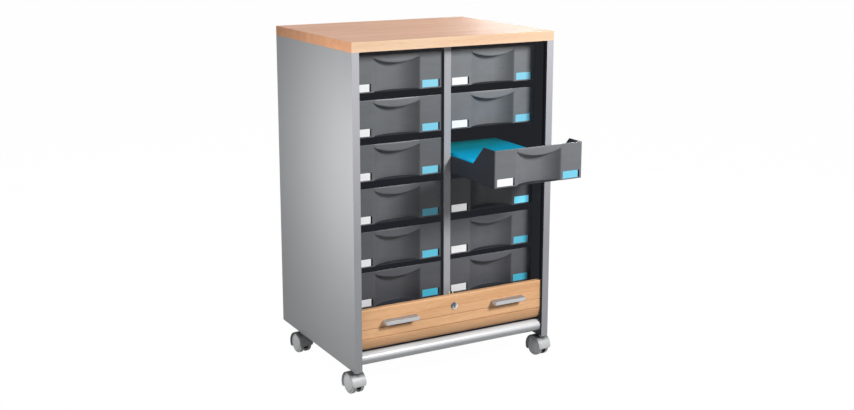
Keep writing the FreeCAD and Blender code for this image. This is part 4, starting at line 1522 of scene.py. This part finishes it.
@dataclass
class Curtain:
    """Slats, lead rail, backing, handles and lock."""

    light_beech: Colour = srgb(240, 190, 143)
    dark_beech: Colour = srgb(216, 163, 116)
    pitch: float = 28.0
    gap: float = 1.2
    lead: float = 3.0
    rail_slats: int = 2
    moving: int = 3
    count: int = 30
    half_length: float = 311.0
    stiffener_half: float = 299.0
    stiffener: float = 8.0
    # Heights between which the slat foil is painted darker downwards, a painted shade in the bend.
    bend_shade_heights: tuple[float, float] = (0.118, 0.160)
    nickel: Colour = srgb(202, 204, 206)
    zinc: Colour = srgb(236, 232, 214)
    bolt: Colour = srgb(240, 232, 200)
    bolt_notch_shade: Colour = srgb(24, 22, 20)
    guide: Colour = srgb(58, 57, 55)
    lock_bright: Colour = srgb(238, 240, 244)
    lock_dim: Colour = srgb(104, 107, 114)
    path: CurtainPath = field(default_factory=CurtainPath)

    def build(self) -> None:
        """Builds the slats and dresses the hardware on the lead rail."""
        foil = Beech("beech_foil", self.light_beech, self.dark_beech, fine=1.5, bend=self.bend_shade_heights).build()
        paint(self._lead_rail(), foil)
        paint(self._run("follower_slat", self.rail_slats, self.moving, "curtain"), foil)
        paint(self._run("stored_slats", self.moving, self.count, "cabinet"), foil)
        dress(["stored_backing", "curtain_backing"], Cloth("backing_cloth", srgb(60, 60, 62)).build())
        # The handles' top faces are painted darker as shade.
        nickel = Metal("satin_nickel", self.nickel, 0.34, (1.0, 10.0, 10.0), metallic=0.25, above=0.55)
        dress(["bar_handles"], nickel.build())
        dress(["handle_screws"], Metal("bright_zinc", self.zinc, 0.28, metallic=0.4).build())
        dress(["lock_bolt"], BoltFinish("lock_bolt_zinc", self.bolt, self.bolt_notch_shade).build())
        # The guide is painted dark so that the notch in front of it reads as shade.
        dress(["bolt_guide"], Metal("guide_shade_zinc", self.guide, 0.4, metallic=0.5).build())
        core_low, core_high = node_box("lock_core")
        axis_z = float(core_low[2] + core_high[2]) / 2
        chrome = LockFace("lock_chrome", self.lock_bright, self.lock_dim, axis_z)
        dress(["lock_barrel", "lock_core"], chrome.build())
        soften(["bar_handles", "lock_barrel", "lock_core", "lock_bolt", "bolt_guide"])

    def _lead_rail(self) -> Piece:
        """Rail two slats high with one fine line, a softly rounded top and a stiffener behind.

        Returns:
            The piece.
        """
        end = self.lead + self.rail_slats * self.pitch - self.gap / 2
        line = self.lead + self.pitch
        face = Slat(self.gap / 2, end, 3.0, 1.0, (line,)).shell(self.path, self.half_length)
        rear = self.path.face + 2 * self.path.half
        low = (-self.stiffener_half, rear - 0.5, self.path.top - end)
        high = (self.stiffener_half, rear + self.stiffener, self.path.top - self.gap / 2)
        shell = join([face, bar(low, high, 0.8)])
        return make_piece("lead_rail_body", shell, "curtain", ["lead_rail"])

    def _run(self, node: str, first: int, last: int, body: str) -> Piece:
        """Slats from one number to another.

        Args:
            node: The node that they replace.
            first: Number of the first slat.
            last: Number after the last slat.
            body: The body that they ride on.

        Returns:
            The piece.
        """
        starts = [self.lead + k * self.pitch + self.gap / 2 for k in range(first, last)]
        slats = [Slat(s, s + self.pitch - self.gap).shell(self.path, self.half_length) for s in starts]
        return make_piece(node + "_body", join(slats), body, [node])


@dataclass
class Trays:
    """Twelve pull-out trays with their label cards."""

    rows: int = 6
    # Front colour of the top row and of the bottom row: the darkening downwards is painted shade.
    front_high: Colour = srgb(110, 113, 116)
    front_low: Colour = srgb(82, 83, 88)
    # Walls and floor are a darker copy of the front plastic, painted shade; their glow is painted light.
    shaded_shell_colour: Colour = srgb(23, 25, 29)
    glow: Colour = srgb(33, 35, 40)
    open_tray: str = "tray_right_3"
    shaded_tray: str = "tray_right_4"
    shaded_tone: float = 0.58
    shaded_glow: float = 0.4
    # Factors on the front colour by column: the lighter right column and the darker left one are painted light and
    # shade.
    column_painted_light: tuple[tuple[str, float], ...] = (("left", 0.96), ("right", 1.18))
    white: Colour = srgb(252, 252, 254)
    # Blue card colour for the top row and the bottom row: the change downwards is painted shade.
    blue_high: Colour = srgb(136, 210, 234)
    blue_low: Colour = srgb(80, 196, 226)
    form: TrayForm = field(default_factory=TrayForm)

    def build(self) -> None:
        """Builds every tray and dresses its cards."""
        shell = self.form.shell()
        body = Moulded("tray_shell_plastic", self.shaded_shell_colour, 0.46, specular=0.12, glow=self.glow).build()
        for row in range(1, self.rows + 1):
            share = (row - 1) / (self.rows - 1)
            for column, tone in self.column_painted_light:
                node = f"tray_{column}_{row}"
                dim = self.shaded_tone if node == self.shaded_tray else 1.0
                colour = tuple(c * tone * dim for c in between(self.front_high, self.front_low, share))
                # Faces that turn to the left are painted darker here as shade.
                front = Moulded(f"tray_front_{column}_{row}", colour, 0.36, left_face_shade=0.55).build()
                low, high = node_box(node)
                centre = float(low[0] + high[0]) / 2
                place = (centre / MM, high[1] / MM - self.form.depth, low[2] / MM)
                piece = make_piece(node + "_shell", shell.moved(*place), node, [node], 30.0)
                # Closed trays take the dark walls' finish on the front's top edge, a painted shade in the gap above
                # it.
                paint(piece, front, body, front if node == self.open_tray else body)
                blue = between(self.blue_high, self.blue_low, share)
                glow = self.shaded_glow if node == self.shaded_tray else 0.0
                cards = LabelPair(f"cards_{column}_{row}", centre, self.white, blue, glow)
                dress([f"labels_{column}_{row}"], cards.build())


@dataclass
class Folders:
    """Card folders that lie in the open tray."""

    # The far colour is the cover in painted shade towards the tray's rear.
    near: Colour = srgb(0, 186, 244)
    far: Colour = srgb(22, 118, 118)
    paper: Colour = srgb(232, 230, 222)
    width: float = 232.0
    depth: float = 320.0
    thickness: float = 10.4
    card: float = 0.8
    gap: float = 0.3
    inset: float = 4.0
    side_gap: float = 5.0
    front_share: float = 0.75
    turns: tuple[float, ...] = (0.0, -0.6, 0.5, 0.2, -1.2)
    tray: TrayForm = field(default_factory=TrayForm)

    def build(self) -> None:
        """Builds the stack of folders on the open tray's floor."""
        low, high = node_box("tray_right_3")
        floor = float(low[2]) / MM + self.tray.wall + self.gap
        front = float(high[1]) / MM - self.tray.depth
        room = self.tray.scoop_depth + self.tray.wall
        spare = self.tray.depth - self.tray.wall - room - self.depth
        middle_y = front + room + self.front_share * spare + self.depth / 2
        middle_x = float(low[0]) / MM + self.tray.wall + self.side_gap + self.width / 2
        shells = []
        for index, turn in enumerate(self.turns):
            shell = self._folder(0.5 if index < len(self.turns) - 1 else 0.0)
            angle = math.radians(turn)
            c, s = math.cos(angle), math.sin(angle)
            spin = np.array([[c, -s, 0], [s, c, 0], [0, 0, 1]])
            shell.points = shell.points @ spin.T
            shells.append(shell.moved(middle_x, middle_y, floor + index * (self.thickness + self.gap)))
        piece = make_piece("folder_stack", join(shells), "tray_right_3", ["blue_folders"])
        ends = ((middle_y - self.depth / 2) * MM, (middle_y + self.depth / 2) * MM)
        cover = FolderCover("folder_cover", self.near, self.far, *ends)
        paint(piece, cover.build(), Card("folder_paper", self.paper).build())

    def _folder(self, press: float) -> Shell:
        """One folder: a cover bent round its spine, and the paper in it.

        The cover's section is a band: along the top from the open side to the spine, half way round it and back
        along the bottom, with the same line one card's thickness further in. The top dips by press in the middle,
        as cos^2 across and along.

        Args:
            press: Depth of the dip in the top cover.

        Returns:
            The folder, centred on X and Y, with its underside at Z = 0.
        """
        half, high = self.width / 2, self.thickness
        turn = np.radians(np.linspace(90.0, 270.0, 9))
        radius = high / 2
        straight = np.linspace(half, -half + radius, 14)[:-1]

        def line(inset: float) -> Array:
            """Open line of the cover.

            Args:
                inset: How far the line is drawn in.

            Returns:
                Two coordinates per point.
            """
            spine = radius - inset
            top = np.stack([straight, np.full(len(straight), high - inset)], axis=1)
            bend = np.stack([-half + radius + spine * np.cos(turn), radius + spine * np.sin(turn)], axis=1)
            base = np.stack([straight[::-1], np.full(len(straight), inset)], axis=1)
            return np.concatenate([top, bend, base])

        flat = np.concatenate([line(0.0), line(self.card)[::-1]])
        y = np.linspace(-self.depth / 2, self.depth / 2, 15)
        outlines = np.zeros((len(y), len(flat), 3))
        outlines[:, :, 0], outlines[:, :, 1], outlines[:, :, 2] = flat[:, 0], y[:, None], flat[:, 1]
        across = np.cos(np.pi * flat[:, 0] / self.width) ** 2 * (flat[:, 1] > radius)
        along = np.cos(np.pi * y / self.depth) ** 2
        outlines[:, :, 2] -= press * along[:, None] * across[None, :]
        low = (-half + radius, -self.depth / 2 + self.inset, self.card)
        paper = bar(low, (half - self.inset, self.depth / 2 - self.inset, high - self.card - 0.6), 0.6, 1)
        return join([loft(outlines), paper])


@dataclass
class Castors:
    """Four swivel castors."""

    names: tuple[str, ...] = ("front_left", "front_right", "rear_left", "rear_right")
    turns: tuple[float, ...] = (4.2, 5.8, 6.0, -6.0)
    hood: Colour = srgb(200, 202, 203)
    # The rear hoods are a darker copy of the hood colour, painted shade under the cabinet.
    rear_hood_in_shade: Colour = srgb(112, 114, 116)
    hood_shade: Colour = srgb(62, 63, 66)
    disc: Colour = srgb(216, 218, 219)
    rim: Colour = srgb(228, 229, 230)
    tread: Colour = srgb(158, 160, 162)

    def build(self) -> None:
        """Dresses the hoods, the wheels and the stems."""
        for name, turn in zip(self.names, self.turns):
            hood, wheels = f"castor_hood_{name}", f"castor_wheels_{name}"
            low, high = node_box(wheels)
            axle = Axle(tuple(float(v) for v in (low + high) / 2), turn)
            top = float(node_box(hood)[1][2])
            colour = self.hood if name.startswith("front") else self.rear_hood_in_shade
            dress([hood], HoodFinish(hood + "_plastic", axle, colour, self.hood_shade, top).build())
            dress([wheels], WheelFinish(wheels + "_plastic", axle, self.disc, self.rim, self.tread).build())
        dress(["castor_stems"], Metal("stem_zinc", srgb(150, 151, 152), 0.35).build())
        soften([f"castor_{part}_{name}" for name in self.names for part in ("hood", "wheels")] + ["castor_stems"])


# ---------------------------------------------------------------------------------------------------------------
# Studio
# ---------------------------------------------------------------------------------------------------------------


@dataclass
class Studio:
    """Floor, lamps, world and camera."""

    floor_half: float = 40.0
    focal_px: float = 1215.1
    frame_px: float = 854.0
    yaw: float = 29.06
    pitch: float = 11.92
    roll: float = 0.023
    shift: float = -0.05
    place: tuple[float, float, float] = (-1.70904, -3.07276, 1.35094)
    sensor: float = 36.0
    clip_end: float = 200.0
    aim: tuple[float, float, float] = (0.0, -0.1, 0.55)
    floor_dark: float = 0.27
    floor_light: float = 0.29
    floor_seen: float = 0.94
    floor_glow: float = 1.05
    world_light: float = 0.13
    lamps: list[tuple[str, tuple[float, float, float], float, float]] = field(
        default_factory=lambda: [
            ("key", (1.10, -2.35, 1.95), 0.60, 80.0),
            ("side", (-0.86, -0.2, 0.69), 0.40, 5.5),
            ("back", (0.6, 2.2, 3.0), 1.6, 38.0),
            ("rear", (1.9, 1.9, 1.1), 1.0, 40.0),
        ]
    )

    def build(self) -> None:
        """Builds the floor, the world, the lamps and the camera."""
        self._floor()
        self._world()
        for name, place, size, power in self.lamps:
            self._lamp(name, place, size, power)
        self._camera()
        bpy.context.scene.view_settings.view_transform = "Standard"

    def _floor(self) -> None:
        """Lays a pale floor that keeps the shadow and shows white to the camera."""
        h = self.floor_half
        mesh = bpy.data.meshes.new("studio_floor")
        mesh.from_pydata([(-h, -h, 0.0), (h, -h, 0.0), (h, h, 0.0), (-h, h, 0.0)], [], [(0, 1, 2, 3)])
        floor = bpy.data.objects.new("studio_floor", mesh)
        bpy.context.scene.collection.objects.link(floor)
        g = Graph("floor_paint")
        cloud = g.noise(g.position, 2.0, 2.0)
        g.link(g.mix(cloud, (self.floor_dark,) * 3, (self.floor_light,) * 3), "Base Color")
        g.set(Roughness=0.9, Specular_IOR_Level=0.1)
        tree = g.tree
        paths = tree.nodes.new("ShaderNodeLightPath")
        seen = g.math("MAXIMUM", paths.outputs["Is Camera Ray"], paths.outputs["Is Glossy Ray"])
        glow = tree.nodes.new("ShaderNodeEmission")
        glow.inputs["Strength"].default_value = self.floor_glow
        blend = tree.nodes.new("ShaderNodeMixShader")
        share = g.math("MULTIPLY", seen, self.floor_seen)
        tree.links.new(share, blend.inputs[0])
        tree.links.new(g.shader.outputs[0], blend.inputs[1])
        tree.links.new(glow.outputs[0], blend.inputs[2])
        tree.links.new(blend.outputs[0], tree.nodes["Material Output"].inputs["Surface"])
        floor.data.materials.append(g.material)

    def _world(self) -> None:
        """Sets a plain world that is white to the camera and to reflections."""
        world = bpy.data.worlds.new("studio_world")
        bpy.context.scene.world = world
        world.use_nodes = True
        tree = world.node_tree
        back = tree.nodes["Background"]
        paths = tree.nodes.new("ShaderNodeLightPath")
        seen = tree.nodes.new("ShaderNodeMath")
        seen.operation = "MAXIMUM"
        tree.links.new(paths.outputs["Is Camera Ray"], seen.inputs[0])
        also = tree.nodes.new("ShaderNodeMath")
        also.operation = "MAXIMUM"
        tree.links.new(paths.outputs["Is Glossy Ray"], also.inputs[0])
        tree.links.new(paths.outputs["Is Transmission Ray"], also.inputs[1])
        tree.links.new(also.outputs[0], seen.inputs[1])
        level = tree.nodes.new("ShaderNodeMapRange")
        tree.links.new(seen.outputs[0], level.inputs[0])
        level.inputs[3].default_value = self.world_light
        level.inputs[4].default_value = 1.0
        tree.links.new(level.outputs[0], back.inputs["Strength"])
        back.inputs["Color"].default_value = (1.0, 1.0, 1.0, 1.0)

    def _lamp(self, name: str, place: tuple[float, float, float], size: float, power: float) -> None:
        """Hangs a soft square lamp that points at the cabinet's middle.

        Args:
            name: The lamp's name.
            place: Where it hangs.
            size: Its side.
            power: Its power in watts.
        """
        data = bpy.data.lights.new(name, "AREA")
        data.size = size
        data.energy = power
        lamp = bpy.data.objects.new(name, data)
        lamp.location = place
        aim = Vector(self.aim) - Vector(place)
        lamp.rotation_euler = aim.to_track_quat("-Z", "Y").to_euler()
        lamp.visible_camera = False
        bpy.context.scene.collection.objects.link(lamp)

    def _camera(self) -> None:
        """Places the camera by its yaw, pitch and roll."""
        data = bpy.data.cameras.new("camera")
        data.sensor_width = self.sensor
        data.lens = self.focal_px / self.frame_px * data.sensor_width
        data.shift_y = self.shift
        data.clip_end = self.clip_end
        camera = bpy.data.objects.new("camera", data)
        yaw, pitch, roll = (math.radians(v) for v in (self.yaw, self.pitch, self.roll))
        heading = Matrix.Rotation(-yaw, 4, "Z")
        tilt = Matrix.Rotation(math.pi / 2 - pitch, 4, "X")
        lean = Matrix.Rotation(roll, 4, "Z")
        camera.matrix_world = Matrix.Translation(self.place) @ heading @ tilt @ lean
        bpy.context.scene.collection.objects.link(camera)
        bpy.context.scene.camera = camera


def main() -> None:
    """Builds every sub-assembly, then the studio."""
    logging.basicConfig(level=logging.INFO, format="%(message)s")
    for part in (Carcass(), Curtain(), Trays(), Folders(), Castors(), Studio()):
        log.info("building %s", type(part).__name__)
        part.build()


if __name__ == "__main__":
    main()
